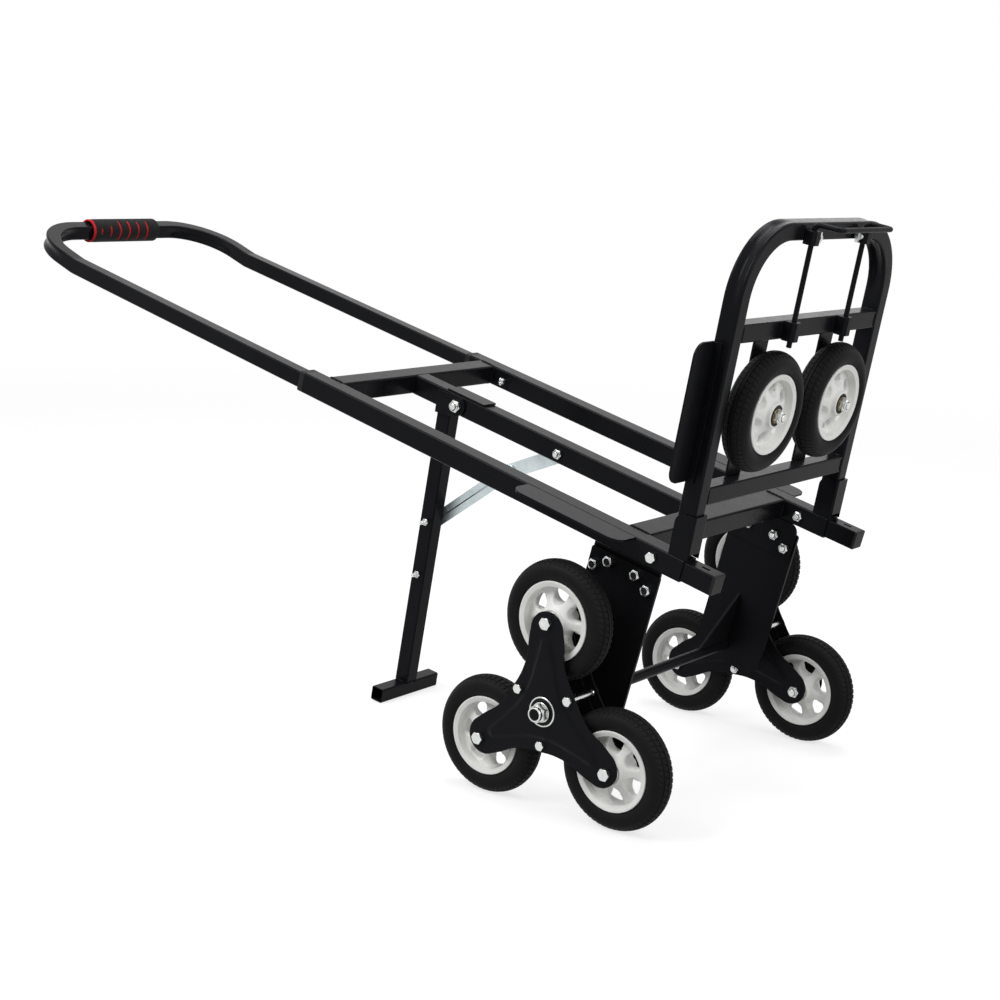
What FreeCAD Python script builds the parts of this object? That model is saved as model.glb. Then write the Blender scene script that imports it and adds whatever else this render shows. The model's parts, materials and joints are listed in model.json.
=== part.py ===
"""Folding stair-climbing hand trolley: tri-wheel clusters, slide-out handle, fold-up load frame, prop leg.

Millimetres. X runs along the trolley from the handle to the load frame, Y across it, Z up from the floor.
The origin is on the floor, at the middle of the overall length and width. "left" is the +Y side.
"""
import FreeCAD
import Part
import math
import os
from FreeCAD import Placement, Rotation, Vector

# ---- driving dimensions -------------------------------------------------------------------------------
# wheels and tri-wheel clusters
wheel_diameter = 160.0
tyre_width = 36.6
rim_flange_diameter = 106.0
rim_width = 33.0
rim_windows = 6
rim_window_inner = 25.0
rim_window_outer = 41.0
wheel_hub_width = 40.0
cluster_radius = 117.4          # main axle to each wheel bolt
cluster_offset = 39.85          # middle plane of a cluster, outside the rail's outer face
spider_gap = 49.4               # between the two spider plates of a cluster
spider_thickness = 2.5
spider_relief = 2.2             # how far the pressed panel stands out of the plate
spider_tip_radius = 25.3
spider_tip_inset = 10.0         # centre of an arm's round tip, inside its wheel bolt
spacer_bolt_radius = 45.6
axle_diameter = 15.0
wheel_bolt_diameter = 10.0
spacer_bolt_diameter = 8.0
frame_bolt_diameter = 8.0

# sloping frame
rail_slope = 13.96              # degrees, down towards the load frame
rail_size = 30.0
rail_wall = 1.8
rail_corner = 3.0
rail_margin = 4.75              # rail's outer face beyond the load frame's side
rail_top = 247.6                # above the main axle, square to the rails
rail_mouth = -584.9             # along the rails from the main axle
rail_end = 100.4
middle_rail_width = 29.0
upper_crossbar_at = -539.0
lower_crossbar_at = 10.5
lower_crossbar_size = 36.0      # along the rails
wing_length = 178.0
wing_reach = 40.0
plate_thickness = 4.0
side_plate_width = 110.0
side_plate_drop = 25.0          # below the main axle
bracket_plate_height = 52.6     # below the rail
gusset_height = 77.5
gusset_reach = 76.0
stub_end = 147.8
stub_insert = 65.0

# handle
handle_size = 24.0
handle_wall = 1.5
handle_kink_at = -1107.0
handle_tilt = 7.5
handle_end_reach = 140.5        # from the kink to the outer face of the end bar
handle_bend = 102.0             # outside radius of the end loop
handle_overlap = 130.0          # handle leg left inside the rail at full reach
grip_length = 145.0
grip_diameter = 39.0

# load frame
load_frame_lean = 4.59          # degrees, towards the handle
load_frame_top_rise = 137.9     # top of the load frame above its middle crossbar
hoop_tube_width = 23.0
hoop_tube_depth = 26.0
hoop_bend = 97.5                # outside radius of the hoop's corners
hinge_height = 34.7             # pivot line above the rails
hinge_bracket_height = 57.0
hinge_web_foot = 7.0            # bottom of the bracket's front web above the rails
hinge_pin_radius = 4.0
crossbar_size = 24.0
lower_bar_at = 80.3             # middle of the bar above the rails
strap_width = 35.0
spare_wheel_gap = 16.0          # between the two spare wheels
spare_side_gap = 10.5           # from a spare wheel to the load frame's side tube
spare_low_gap = 12.1            # from a spare wheel to the lower crossbar
spare_high_gap = 13.8           # from a spare wheel to the middle crossbar
spare_offset = 1.5
hook_spacing = 141.0
hook_diameter = 7.0
hook_offset = 8.0               # rod axis in front of the load frame
hook_reach = 45.0
hook_tail = 21.0                # rod below the middle bar's centre line, down to its end
toe_wing_height = 180.0
toe_wing_base = 97.4
toe_wing_reach = 41.5

# prop leg and its folding brace
leg_pivot_along = -436.0
leg_pivot_drop = 16.0           # below the rail tops
leg_lean = 8.63                 # degrees from upright, foot towards the handle
leg_size = 24.6
clevis_ear_radius = 15.0
foot_size = 22.0
foot_length = 131.2
leg_screw_at = (192.0, 277.0)
leg_screw_diameter = 6.0
brace_rail_at = -242.7
brace_width = 22.0
brace_thickness = 2.5
brace_upper_length = 119.8
brace_elbow_lift = 15.8         # rivet above the straight line between the brace's end bolts

# clearances and fits
running_gap = 0.3               # between parts that move past each other
bearing_fit = 0.05              # radial, shaft in bore
sheet_gauge = 3.0

# ---- derived sizes ------------------------------------------------------------------------------------
wheel_radius = wheel_diameter / 2
axle_height = wheel_radius + cluster_radius * math.sin(math.radians(30))
spare_spacing = wheel_diameter + spare_wheel_gap
spare_height = lower_bar_at + crossbar_size / 2 + spare_low_gap + wheel_radius
middle_bar_at = spare_height + wheel_radius + spare_high_gap + crossbar_size / 2
load_frame_height = middle_bar_at + load_frame_top_rise
load_frame_width = 2 * (spare_spacing / 2 + wheel_radius + spare_side_gap + hoop_tube_width)
rail_track = load_frame_width + 2 * rail_margin
cluster_y = rail_track / 2 + cluster_offset
spider_inner_y = cluster_y - spider_gap / 2
spider_outer_y = cluster_y + spider_gap / 2
rail_outer_y = rail_track / 2
rail_y = rail_outer_y - rail_size / 2
rail_middle = rail_top - rail_size / 2
rail_bottom = rail_top - rail_size
leg_pivot_height = rail_top - leg_pivot_drop
hoop_y = load_frame_width / 2 - hoop_tube_width / 2
hoop_middle = -hoop_tube_depth / 2
bracket_plate_inner = rail_outer_y - rail_size
side_plate_inner = bracket_plate_inner + plate_thickness
side_plate_outer = side_plate_inner + plate_thickness
bearing_width = 9.0
wheel_bearing_radius = 14.0
hub_bearing_radius = 16.0
hub_sleeve_radius = 20.0
hub_sleeve_out = spider_outer_y + spider_thickness + spider_relief + 0.6
hub_sleeve_in = spider_inner_y - spider_thickness - spider_relief - 0.6

origin = Vector(0, 0, 0)
along = Vector(1, 0, 0)
across = Vector(0, 1, 0)
upward = Vector(0, 0, 1)


# ---- placements ---------------------------------------------------------------------------------------
def turned(axis, degrees, position=origin):
    return Placement(position, Rotation(axis, degrees))


# The frame's own axes: x along the rails to the load frame, z square to the rails, main axle at the zero.
frame_axes = turned(across, rail_slope, Vector(0, 0, axle_height))

# The load frame's own axes: x towards the front, z up the hoop, zero at the front face on the rail tops.
load_axes = frame_axes.multiply(turned(across, -load_frame_lean, Vector(rail_end + running_gap, 0, rail_top)))

# The leg's own axes: z up the leg, x towards the load frame, zero at the pivot.
leg_pivot = frame_axes.multVec(Vector(leg_pivot_along, 0, leg_pivot_height))
leg_axes = turned(across, leg_lean, leg_pivot)


def placed(shapes, placement):
    """Copies of the shapes, moved from the placement's axes into the trolley's."""
    result = []
    for shape in shapes:
        copy = shape.copy()
        copy.Placement = placement.multiply(copy.Placement)
        result.append(copy)
    return result


def mirrored(shapes):
    """The shapes and their mirror images across the trolley's middle plane."""
    return shapes + [shape.mirror(origin, across) for shape in shapes]


def mirror_only(shapes):
    return [shape.mirror(origin, across) for shape in shapes]


# ---- basic forms --------------------------------------------------------------------------------------
def block(x, y, z):
    """Box between the two values of each pair."""
    size = [abs(pair[1] - pair[0]) for pair in (x, y, z)]
    return Part.makeBox(size[0], size[1], size[2], Vector(min(x), min(y), min(z)))


def cylinder(radius, start, end):
    reach = end.sub(start)
    return Part.makeCylinder(radius, reach.Length, start, reach)


def ring(outer, inner, start, end):
    return cylinder(outer, start, end).cut(cylinder(inner, start, end))


def rounded_section(width, height, radius):
    """Rounded rectangle in the YZ plane, centred on the x axis."""
    half_y = width / 2
    half_z = height / 2
    edges = []
    corners = ((half_y, half_z, 0), (-half_y, half_z, 90), (-half_y, -half_z, 180), (half_y, -half_z, 270))
    spots = []
    for corner_y, corner_z, start in corners:
        centre_y = corner_y - math.copysign(radius, corner_y)
        centre_z = corner_z - math.copysign(radius, corner_z)
        points = []
        for angle in (start, start + 45, start + 90):
            turn = math.radians(angle)
            points.append(Vector(0, centre_y + radius * math.cos(turn), centre_z + radius * math.sin(turn)))
        spots.append(points)
    for index, points in enumerate(spots):
        following = spots[(index + 1) % 4]
        edges.append(Part.Arc(points[0], points[1], points[2]).toShape())
        edges.append(Part.LineSegment(points[2], following[0]).toShape())
    return Part.Face(Part.Wire(edges))


def round_section(radius):
    return Part.Face(Part.Wire(Part.makeCircle(radius, origin, along)))


def swept(section, start, steps):
    """Solid of a section carried from a placement along straight steps and bends.

    A straight step is a length. A bend is (centre-line radius, degrees, local axis that it turns about).
    """
    here = start
    pieces = []
    for step in steps:
        face = section.copy()
        face.Placement = here
        if isinstance(step, tuple):
            radius, degrees, axis = step
            centre = axis.cross(along).multiply(radius)
            pivot = here.multVec(centre)
            turn_axis = here.Rotation.multVec(axis)
            pieces.append(face.revolve(pivot, turn_axis, degrees))
            to_centre = Placement(centre, Rotation())
            turn = Placement(origin, Rotation(axis, degrees))
            from_centre = Placement(centre.negative(), Rotation())
            here = here.multiply(to_centre).multiply(turn).multiply(from_centre)
        else:
            pieces.append(face.extrude(here.Rotation.multVec(Vector(step, 0, 0))))
            here = here.multiply(Placement(Vector(step, 0, 0), Rotation()))
    solid = pieces[0].fuse(pieces[1:]) if len(pieces) > 1 else pieces[0]
    return solid.removeSplitter()


def square_tube(width, height, wall, corner, start, length):
    """Hollow rectangular tube from a placement along its x axis."""
    outer = swept(rounded_section(width, height, corner), start, [length])
    bore_section = rounded_section(width - 2 * wall, height - 2 * wall, max(corner - wall, 0.6))
    return outer.cut(swept(bore_section, start, [length]))


def hexagon(across_flats, start, end):
    """Hexagonal prism along the line from start to end."""
    reach = end.sub(start)
    radius = across_flats / math.sqrt(3)
    points = []
    for corner in range(7):
        turn = math.radians(60 * corner)
        points.append(Vector(radius * math.cos(turn), radius * math.sin(turn), 0))
    prism = Part.Face(Part.makePolygon(points)).extrude(Vector(0, 0, reach.Length))
    prism.Placement = Placement(start, Rotation(upward, reach))
    return prism


# shank diameter, head width across flats, head height and nut height of stock bolts
stock_bolts = (
    (6.0, 10.0, 4.0, 5.0), (8.0, 13.0, 5.3, 6.8), (10.0, 17.0, 6.4, 8.4), (12.0, 19.0, 7.5, 10.8),
    (14.0, 22.0, 8.8, 11.0), (16.0, 24.0, 10.0, 14.8))


def bolt_size(diameter):
    """Head width across flats, head height and nut height; between stock sizes they are in proportion."""
    following = [row for row in stock_bolts if row[0] >= diameter]
    row = following[0] if following else stock_bolts[-1]
    scale = diameter / row[0]
    return [value * scale for value in row[1:]]


def bolt(diameter, under_head, direction, grip, tail=2.0):
    """Hexagon bolt and its nut: two solids. The grip is the length clamped between head and nut."""
    flats, head, nut = bolt_size(diameter)
    way = Vector(direction).normalize()

    def at(distance):
        return under_head.add(Vector(way).multiply(distance))

    shank = cylinder(diameter / 2, at(0), at(grip + nut + tail))
    body = hexagon(flats, at(-head), at(0)).fuse(shank).removeSplitter()
    collar = hexagon(flats, at(grip), at(grip + nut)).cut(cylinder(diameter / 2, at(grip), at(grip + nut)))
    return [body, collar]


def plate(points, normal_from, thickness_vector, corner_radii=None):
    """Flat plate from its corner points, with each corner rounded by its own radius."""
    closed = [normal_from.add(point) for point in points]
    face = Part.Face(Part.makePolygon(closed + [closed[0]]))
    solid = face.extrude(thickness_vector)
    if not corner_radii:
        return solid
    for corner, radius in zip(closed, corner_radii):
        if radius:
            edges = []
            for edge in solid.Edges:
                middle = edge.valueAt((edge.FirstParameter + edge.LastParameter) / 2)
                on_line = middle.sub(corner).cross(thickness_vector).Length < 0.01 * thickness_vector.Length
                if on_line and abs(edge.Length - thickness_vector.Length) < 0.01:
                    edges.append(edge)
            solid = solid.makeFillet(radius, edges)
    return solid


# ---- wheels -------------------------------------------------------------------------------------------
bead_radius = rim_flange_diameter / 2
bed_radius = bead_radius - 5
hub_end_radius = wheel_bearing_radius + 3
web_root_half = 14.5            # half thickness of the conical web at the hub, and where it meets the drum
web_edge_half = 4.5
# window phase of each rim, seen from the right side: degrees up from the toe-ward direction
window_turns = {
    "right": {"top": 15.0, "rear": 50.0, "front": 24.0},
    "left": {"top": 15.0, "rear": 10.0, "front": 9.0},
}
spare_window_turn = 50.0


def revolved(points, spans):
    """Solid turned about the z axis. Spans join points by lines, or by an arc through a middle point."""
    edges = []
    for span in spans:
        if len(span) == 3:
            edges.append(Part.Arc(points[span[0]], points[span[1]], points[span[2]]).toShape())
        else:
            edges.append(Part.LineSegment(points[span[0]], points[span[1]]).toShape())
    return Part.Face(Part.Wire(edges)).revolve(origin, upward, 360)


def tyre():
    """Solid rubber tyre about the z axis, with a rounded crown and full sidewalls."""
    half = tyre_width / 2
    lip = rim_width / 2 - 2
    shoulder = wheel_radius - 8
    sidewall = (bead_radius + shoulder) / 2
    profile = [
        Vector(bed_radius, 0, -(lip - 1.5)), Vector(bead_radius, 0, -lip), Vector(sidewall, 0, -half),
        Vector(shoulder, 0, -(half - 2.4)), Vector(wheel_radius, 0, 0), Vector(shoulder, 0, half - 2.4),
        Vector(sidewall, 0, half), Vector(bead_radius, 0, lip), Vector(bed_radius, 0, lip - 1.5),
    ]
    return revolved(profile, [(0, 1), (1, 2, 3), (3, 4, 5), (5, 6, 7), (7, 8), (8, 0)])


def web_half(radius):
    """Half thickness of the rim's conical web."""
    drum = bed_radius - 3
    return web_edge_half + (web_root_half - web_edge_half) * ((drum - radius) / (drum - hub_end_radius)) ** 1.7


def rim(turn):
    """One-piece plastic rim: hub with two bearing seats, conical web with windows, drum and flanges."""
    half = rim_width / 2
    hub_half = wheel_hub_width / 2
    seat = wheel_bearing_radius + bearing_fit
    clear = wheel_bolt_diameter / 2 + 3
    drum = bed_radius - 3
    upper = [
        (clear, 0), (clear, hub_half - bearing_width), (seat, hub_half - bearing_width), (seat, hub_half),
        (hub_end_radius, hub_half), (hub_end_radius + 0.4, web_root_half),
        (rim_window_inner, web_half(rim_window_inner)), (rim_window_outer, web_half(rim_window_outer)),
        (drum, web_edge_half), (bed_radius - 2.5, half - 2.5), (bead_radius - 3, half), (bead_radius, half),
        (bead_radius, half - 2), (bed_radius, half - 3.5), (bed_radius, 0),
    ]
    outline = [Vector(radius, 0, height) for radius, height in upper]
    outline += [Vector(radius, 0, -height) for radius, height in reversed(upper[1:-1])]
    body = Part.Face(Part.makePolygon(outline + [outline[0]])).revolve(origin, upward, 360)
    body = body.cut(Part.Compound(rim_window_cutters()))
    body.rotate(origin, upward, turn)
    return body


def rim_window_cutters():
    """Rounded windows between the rim's spokes, narrow at the hub and wide at the drum."""
    inner = rim_window_inner
    outer = rim_window_outer
    depth = 2 * web_root_half + 2
    narrow = 5.5
    wide = 9.6
    crown = math.sqrt(outer ** 2 - wide ** 2)
    corners = [Vector(inner, -narrow, 0), Vector(crown, -wide, 0), Vector(crown, wide, 0), Vector(inner, narrow, 0)]
    sides = [Part.LineSegment(corners[0], corners[1]).toShape()]
    sides.append(Part.Arc(corners[1], Vector(outer, 0, 0), corners[2]).toShape())
    sides.append(Part.LineSegment(corners[2], corners[3]).toShape())
    sides.append(Part.LineSegment(corners[3], corners[0]).toShape())
    window = Part.Face(Part.Wire(sides)).extrude(Vector(0, 0, depth))
    upright = [edge for edge in window.Edges if abs(edge.BoundBox.ZMax - edge.BoundBox.ZMin - depth) < 0.01]
    window = window.makeFillet(4.0, upright)
    window.translate(Vector(0, 0, -depth / 2))
    cutters = []
    for index in range(rim_windows):
        cutter = window.copy()
        cutter.rotate(origin, upward, 360 / rim_windows * index)
        cutters.append(cutter)
    return cutters


def bearing(bore_radius, outer_radius):
    """Sealed ball bearing about the z axis."""
    half = bearing_width / 2
    return ring(outer_radius, bore_radius, Vector(0, 0, -half), Vector(0, 0, half))


def wheel_bearings():
    """The pair of bearings in one wheel, about the z axis."""
    pair = []
    for side in (-1, 1):
        one = bearing(wheel_bolt_diameter / 2, wheel_bearing_radius)
        one.translate(Vector(0, 0, side * (wheel_hub_width - bearing_width) / 2))
        pair.append(one)
    return pair


# ---- tri-wheel clusters -------------------------------------------------------------------------------
cluster_angles = {"top": 90, "rear": 210, "front": 330}


def cluster_point(angle, radius, y):
    turn = math.radians(angle)
    return Vector(radius * math.cos(turn), y, axle_height + radius * math.sin(turn))


def spider_outline(corner_radius, flank, low, tip_radius, reach):
    """Closed three-arm outline in the XY plane: round tips, hollow flanks, a corner between the arms.

    Flank and low are points on an arm's edge, as (distance out, half width).
    """
    corner = Vector(corner_radius, 0, 0)
    edges = []
    for arm in range(3):
        turn = Rotation(upward, 120 * arm)
        start = Rotation(upward, -60).multVec(corner)
        end = Rotation(upward, 60).multVec(corner)
        chain = []
        for side in (-1, 1):
            hollow = Vector(flank[0], side * flank[1], 0)
            taper = Vector(low[0], side * low[1], 0)
            tip_edge = Vector(reach, side * tip_radius, 0)
            if side < 0:
                chain.append(Part.Arc(turn.multVec(start), turn.multVec(hollow), turn.multVec(taper)))
                chain.append(Part.LineSegment(turn.multVec(taper), turn.multVec(tip_edge)))
                tip = Vector(reach + tip_radius, 0, 0)
                far_edge = Vector(reach, tip_radius, 0)
                chain.append(Part.Arc(turn.multVec(tip_edge), turn.multVec(tip), turn.multVec(far_edge)))
            else:
                chain.append(Part.LineSegment(turn.multVec(tip_edge), turn.multVec(taper)))
                chain.append(Part.Arc(turn.multVec(taper), turn.multVec(hollow), turn.multVec(end)))
        edges += [curve.toShape() for curve in chain]
    return Part.Wire(edges)


def spider_sheet():
    """Outer edge of a spider plate."""
    tip = spider_tip_radius
    flank = (cluster_radius * 0.39, tip + 11.9)
    low = (cluster_radius * 0.65, tip + 3.0)
    return spider_outline(spacer_bolt_radius + 9.5, flank, low, tip, cluster_radius - spider_tip_inset)


def spider_panel(inset):
    """Edge of the raised Y panel, moved in by an inset: a tapered tongue on each arm."""
    corner = spacer_bolt_radius - 8.5 - inset
    flank = (cluster_radius * 0.31, 23.5 - inset)
    low = (cluster_radius * 0.47, 18.0 - inset)
    return spider_outline(corner, flank, low, 9.5 - 0.8 * inset, cluster_radius * 0.756)


def spider():
    """Pressed three-arm plate about the z axis; its raised Y panel stands towards +z."""
    body = Part.Face(spider_sheet()).extrude(Vector(0, 0, spider_thickness))
    foot = spider_panel(0)
    crest = spider_panel(2.5)
    hollow_foot = spider_panel(2.5)
    hollow_crest = spider_panel(5)

    def at_level(wire, level):
        lifted = wire.copy()
        lifted.translate(Vector(0, 0, level))
        return lifted

    high = spider_thickness + spider_relief
    raised = Part.makeLoft([at_level(foot, spider_thickness), at_level(crest, high)], True, True)
    dished = Part.makeLoft([at_level(hollow_foot, 0), at_level(hollow_crest, spider_relief)], True, True)
    body = body.fuse(raised).cut(dished).removeSplitter()
    holes = [ring_hole(hub_sleeve_radius, origin, high)]
    for arm in range(3):
        wheel_point = Rotation(upward, 120 * arm).multVec(Vector(cluster_radius, 0, 0))
        holes.append(ring_hole(wheel_bolt_diameter / 2 + 0.2, wheel_point, high))
        spacer_point = Rotation(upward, 120 * arm + 60).multVec(Vector(spacer_bolt_radius, 0, 0))
        holes.append(ring_hole(spacer_bolt_diameter / 2 + 0.2, spacer_point, high))
    return body.cut(Part.Compound(holes))


def ring_hole(radius, centre, depth):
    return cylinder(radius, centre.add(Vector(0, 0, -1)), centre.add(Vector(0, 0, depth + 1)))


def cluster_axes(y, outward):
    """Axes of a spider: local z along +Y when outward is 1 and along -Y when it is -1; an arm points up."""
    face_out = Rotation(Vector(1, 0, 0), -90 * outward)
    arm_up = Rotation(across, -90)
    return Placement(Vector(0, y, axle_height), arm_up.multiply(face_out))


def cluster_bolts():
    """Wheel bolts and spacer bolts of the left cluster, heads outside."""
    solids = []
    plates = spider_gap + 2 * spider_thickness
    for angle in cluster_angles.values():
        head = cluster_point(angle, cluster_radius, spider_outer_y + spider_thickness)
        solids += bolt(wheel_bolt_diameter, head, Vector(0, -1, 0), plates)
        head = cluster_point(angle + 60, spacer_bolt_radius, spider_outer_y + spider_thickness)
        solids += bolt(spacer_bolt_diameter, head, Vector(0, -1, 0), plates)
    return solids


def cluster_hub():
    """Hub sleeve, its two bearings, the wheel bearings and the collars beside them, left cluster."""
    low = Vector(0, hub_sleeve_in, axle_height)
    high = Vector(0, hub_sleeve_out, axle_height)
    sleeve = ring(hub_sleeve_radius, hub_bearing_radius, low, high)
    solids = [sleeve]
    for y in (hub_sleeve_in + bearing_width / 2, hub_sleeve_out - bearing_width / 2):
        one = bearing(axle_diameter / 2 + bearing_fit, hub_bearing_radius)
        solids += placed([one], turned(Vector(1, 0, 0), 90, Vector(0, y, axle_height)))
    collar_radius = wheel_bolt_diameter / 2 + 3
    for angle in cluster_angles.values():
        centre = cluster_point(angle, cluster_radius, cluster_y)
        solids += placed(wheel_bearings(), turned(Vector(1, 0, 0), 90, centre))
        for side in (-1, 1):
            near = cluster_point(angle, cluster_radius, cluster_y + side * wheel_hub_width / 2)
            far = cluster_point(angle, cluster_radius, cluster_y + side * spider_gap / 2)
            solids.append(ring(collar_radius, wheel_bolt_diameter / 2, near, far))
    return solids


def clusters():
    nodes = {}
    outer = placed([spider()], cluster_axes(spider_outer_y, 1))
    inner = placed([spider()], cluster_axes(spider_inner_y, -1))
    parts = {"spider_outer": outer, "spider_inner": inner, "cluster_bolts": cluster_bolts()}
    parts["cluster_hub"] = cluster_hub()
    for angle_name, angle in cluster_angles.items():
        axes = turned(Vector(1, 0, 0), 90, cluster_point(angle, cluster_radius, cluster_y))
        parts["tyre_" + angle_name] = placed([tyre()], axes)
        nodes["rim_" + angle_name + "_left"] = placed([rim(window_turns["left"][angle_name])], axes)
        nodes["rim_" + angle_name + "_right"] = mirror_only(placed([rim(window_turns["right"][angle_name])], axes))
    for name, solids in parts.items():
        nodes[name + "_left"] = solids
        nodes[name + "_right"] = mirror_only(solids)
    return nodes


# ---- sloping frame ------------------------------------------------------------------------------------
lock_screw_at = rail_mouth + 88
rail_bolt_at = 55.1
lock_thread = 6.0


def side_rail():
    """Left side rail in the frame's axes, drilled for the lock screw and the stub's bolt."""
    start = Placement(Vector(rail_mouth + 10, rail_y, rail_middle), Rotation())
    length = rail_end - rail_mouth - 10
    tube = square_tube(rail_size, rail_size, rail_wall, rail_corner, start, length)
    inner_face = rail_outer_y - rail_size
    lock = cylinder(
        lock_thread / 2 + 0.2, Vector(lock_screw_at, inner_face - 1, rail_middle),
        Vector(lock_screw_at, inner_face + rail_wall + 1, rail_middle))
    through = cylinder(
        frame_bolt_diameter / 2 + 0.2, Vector(rail_bolt_at, inner_face - 1, rail_middle),
        Vector(rail_bolt_at, rail_outer_y + 1, rail_middle))
    return tube.cut(Part.Compound([lock, through]))


def crossbar(at, size):
    """Tube across the frame between the side rails; its size is measured along the rails."""
    half = rail_outer_y - rail_size
    start = Placement(Vector(at, -half, rail_middle), Rotation(upward, 90))
    return square_tube(size, rail_size, rail_wall, rail_corner, start, 2 * half)


def middle_rail():
    first = upper_crossbar_at + rail_size / 2
    last = lower_crossbar_at - lower_crossbar_size / 2
    start = Placement(Vector(first, 0, rail_middle), Rotation())
    tube = square_tube(middle_rail_width, rail_size, rail_wall, rail_corner, start, last - first)
    half = middle_rail_width / 2 + 1
    holes = []
    for x, radius in ((leg_pivot_along, wheel_bolt_diameter / 2), (brace_rail_at, frame_bolt_diameter / 2)):
        height = leg_pivot_height
        holes.append(cylinder(radius + 0.2, Vector(x, -half, height), Vector(x, half, height)))
    return tube.cut(Part.Compound(holes))


def rail_plates():
    """Wing plates that keep a load off the wheels, and the slim plate on the middle rail."""
    inner = rail_outer_y
    first = -153.0
    corners = [(0, 0), (wing_length, 0), (wing_length, wing_reach), (0, wing_reach)]
    points = [Vector(x, y, 0) for x, y in corners]
    base = Vector(first, inner, rail_top - sheet_gauge)
    wing = plate(points, base, Vector(0, 0, sheet_gauge), (0, 0, 18.0, 18.0))
    pad = block((-461, -390), (-middle_rail_width / 2, middle_rail_width / 2), (rail_top, rail_top + sheet_gauge))
    return mirrored([wing]) + [pad]


def mouth_collar():
    """Guide at a rail's mouth: a tapered rim outside, a thin sleeve inside the rail."""
    opening = handle_size + 2 * running_gap
    rim_start = Placement(Vector(rail_mouth, rail_y, rail_middle), Rotation())
    lip = swept(rounded_section(rail_size, rail_size, rail_corner), rim_start, [10.0])
    outer_edges = [edge for edge in lip.Edges if abs(edge.BoundBox.XMax - rail_mouth) < 0.01]
    lip = lip.makeChamfer(1.4, outer_edges)
    sleeve_start = Placement(Vector(rail_mouth + 10, rail_y, rail_middle), Rotation())
    inside = rail_size - 2 * rail_wall - 0.1
    sleeve = swept(rounded_section(inside, inside, 1.2), sleeve_start, [25.0])
    hole = swept(rounded_section(opening, opening, 3.0), rim_start, [35.0])
    return lip.fuse(sleeve).cut(hole).removeSplitter()


def hinge_bracket():
    """Folded channel standing on the rail's end, in the load frame's axes: two cheeks and a front web."""
    inner = hoop_tube_width / 2 + running_gap
    outer = inner + sheet_gauge
    back = -hoop_tube_depth
    front = running_gap + sheet_gauge
    foot = -8.0
    side = block((back, front), (hoop_y - outer, hoop_y + outer), (foot, hinge_bracket_height))
    rounded = [edge for edge in side.Edges
               if edge.BoundBox.XMax < back + 0.01 and edge.BoundBox.ZMin > hinge_bracket_height - 0.01]
    side = side.makeFillet(hoop_tube_depth / 2, rounded)
    folds = [edge for edge in side.Edges
             if edge.BoundBox.XMin > front - 0.01 and edge.BoundBox.ZLength > hinge_bracket_height]
    side = side.makeFillet(sheet_gauge, folds)
    pocket = block((back - 1, running_gap), (hoop_y - inner, hoop_y + inner), (foot - 1, hinge_bracket_height + 1))
    below_web = block((back - 1, front + 1), (hoop_y - inner, hoop_y + inner), (foot - 1, hinge_web_foot))
    channel = side.cut(pocket).cut(below_web)
    pin_hole = cylinder(hinge_pin_radius, hinge_point(-outer - 1), hinge_point(outer + 1))
    channel = channel.cut(pin_hole)
    rail_space = block((-200, 200), (0, 400), (rail_top - 200, rail_top))
    return placed([channel], load_axes)[0].cut(placed([rail_space], frame_axes)[0])


def hinge_point(offset):
    """Point on the left hinge line, in the load frame's axes."""
    return Vector(hoop_middle, hoop_y + offset, hinge_height)


def hinge_pin():
    outer = hoop_tube_width / 2 + running_gap + sheet_gauge
    return cylinder(hinge_pin_radius, hinge_point(-outer), hinge_point(outer))


stub_size = rail_size - 2 * rail_wall - 0.4
stub_wall = 1.8
stub_cap = 3.5


def stub_tube():
    """Left stub tube, pushed into the rail's end and bolted, with a slot in its top."""
    start = Placement(Vector(rail_end - stub_insert, rail_y, rail_middle), Rotation())
    length = stub_end - stub_cap - (rail_end - stub_insert)
    tube = square_tube(stub_size, stub_size, stub_wall, 2.0, start, length)
    slot_at = (rail_end + stub_end) / 2 + 1
    top = rail_middle + stub_size / 2
    slot = block((slot_at - 4, slot_at + 4), (rail_y - 2.5, rail_y + 2.5), (top - stub_wall - 1, top + 1))
    for x in (slot_at - 4, slot_at + 4):
        slot = slot.fuse(cylinder(2.5, Vector(x, rail_y, top - stub_wall - 1), Vector(x, rail_y, top + 1)))
    half = rail_size / 2 + 1
    through = cylinder(
        frame_bolt_diameter / 2 + 0.2, Vector(rail_bolt_at, rail_y - half, rail_middle),
        Vector(rail_bolt_at, rail_y + half, rail_middle))
    return tube.cut(slot).cut(through)


def stub_end_cap():
    """Plastic plug: a domed flange outside, a square plug inside."""
    at = stub_end - stub_cap
    start = Placement(Vector(at, rail_y, rail_middle), Rotation())
    flange = swept(rounded_section(stub_size, stub_size, 2.0), start, [stub_cap])
    rim_edges = [edge for edge in flange.Edges if abs(edge.BoundBox.XMin - stub_end) < 0.01]
    flange = flange.makeFillet(1.6, rim_edges)
    inside = stub_size - 2 * stub_wall - 0.1
    plug_start = Placement(Vector(at - 14, rail_y, rail_middle), Rotation())
    plug = square_tube(inside, inside, 1.8, 0.6, plug_start, 14.0)
    return flange.fuse(plug).removeSplitter()


side_plate_first = -47.0
plate_bolt_spots = (
    (-37.0, rail_bottom - 38.1), (-16.0, rail_bottom - 25.6), (28.0, rail_bottom - 25.6), (49.0, rail_bottom - 38.1))


def side_plate():
    """Left axle plate: hangs from the bracket plate down past the main axle."""
    first = side_plate_first
    last = first + side_plate_width
    top = rail_bottom - 14.6
    bottom = -side_plate_drop
    corners = [Vector(first, 0, bottom), Vector(last, 0, bottom), Vector(last, 0, top), Vector(first, 0, top)]
    base = Vector(0, side_plate_inner, 0)
    body = plate(corners, base, Vector(0, plate_thickness, 0), (22.0, 22.0, 4.0, 4.0))
    return body.cut(Part.Compound(side_holes()))


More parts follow.
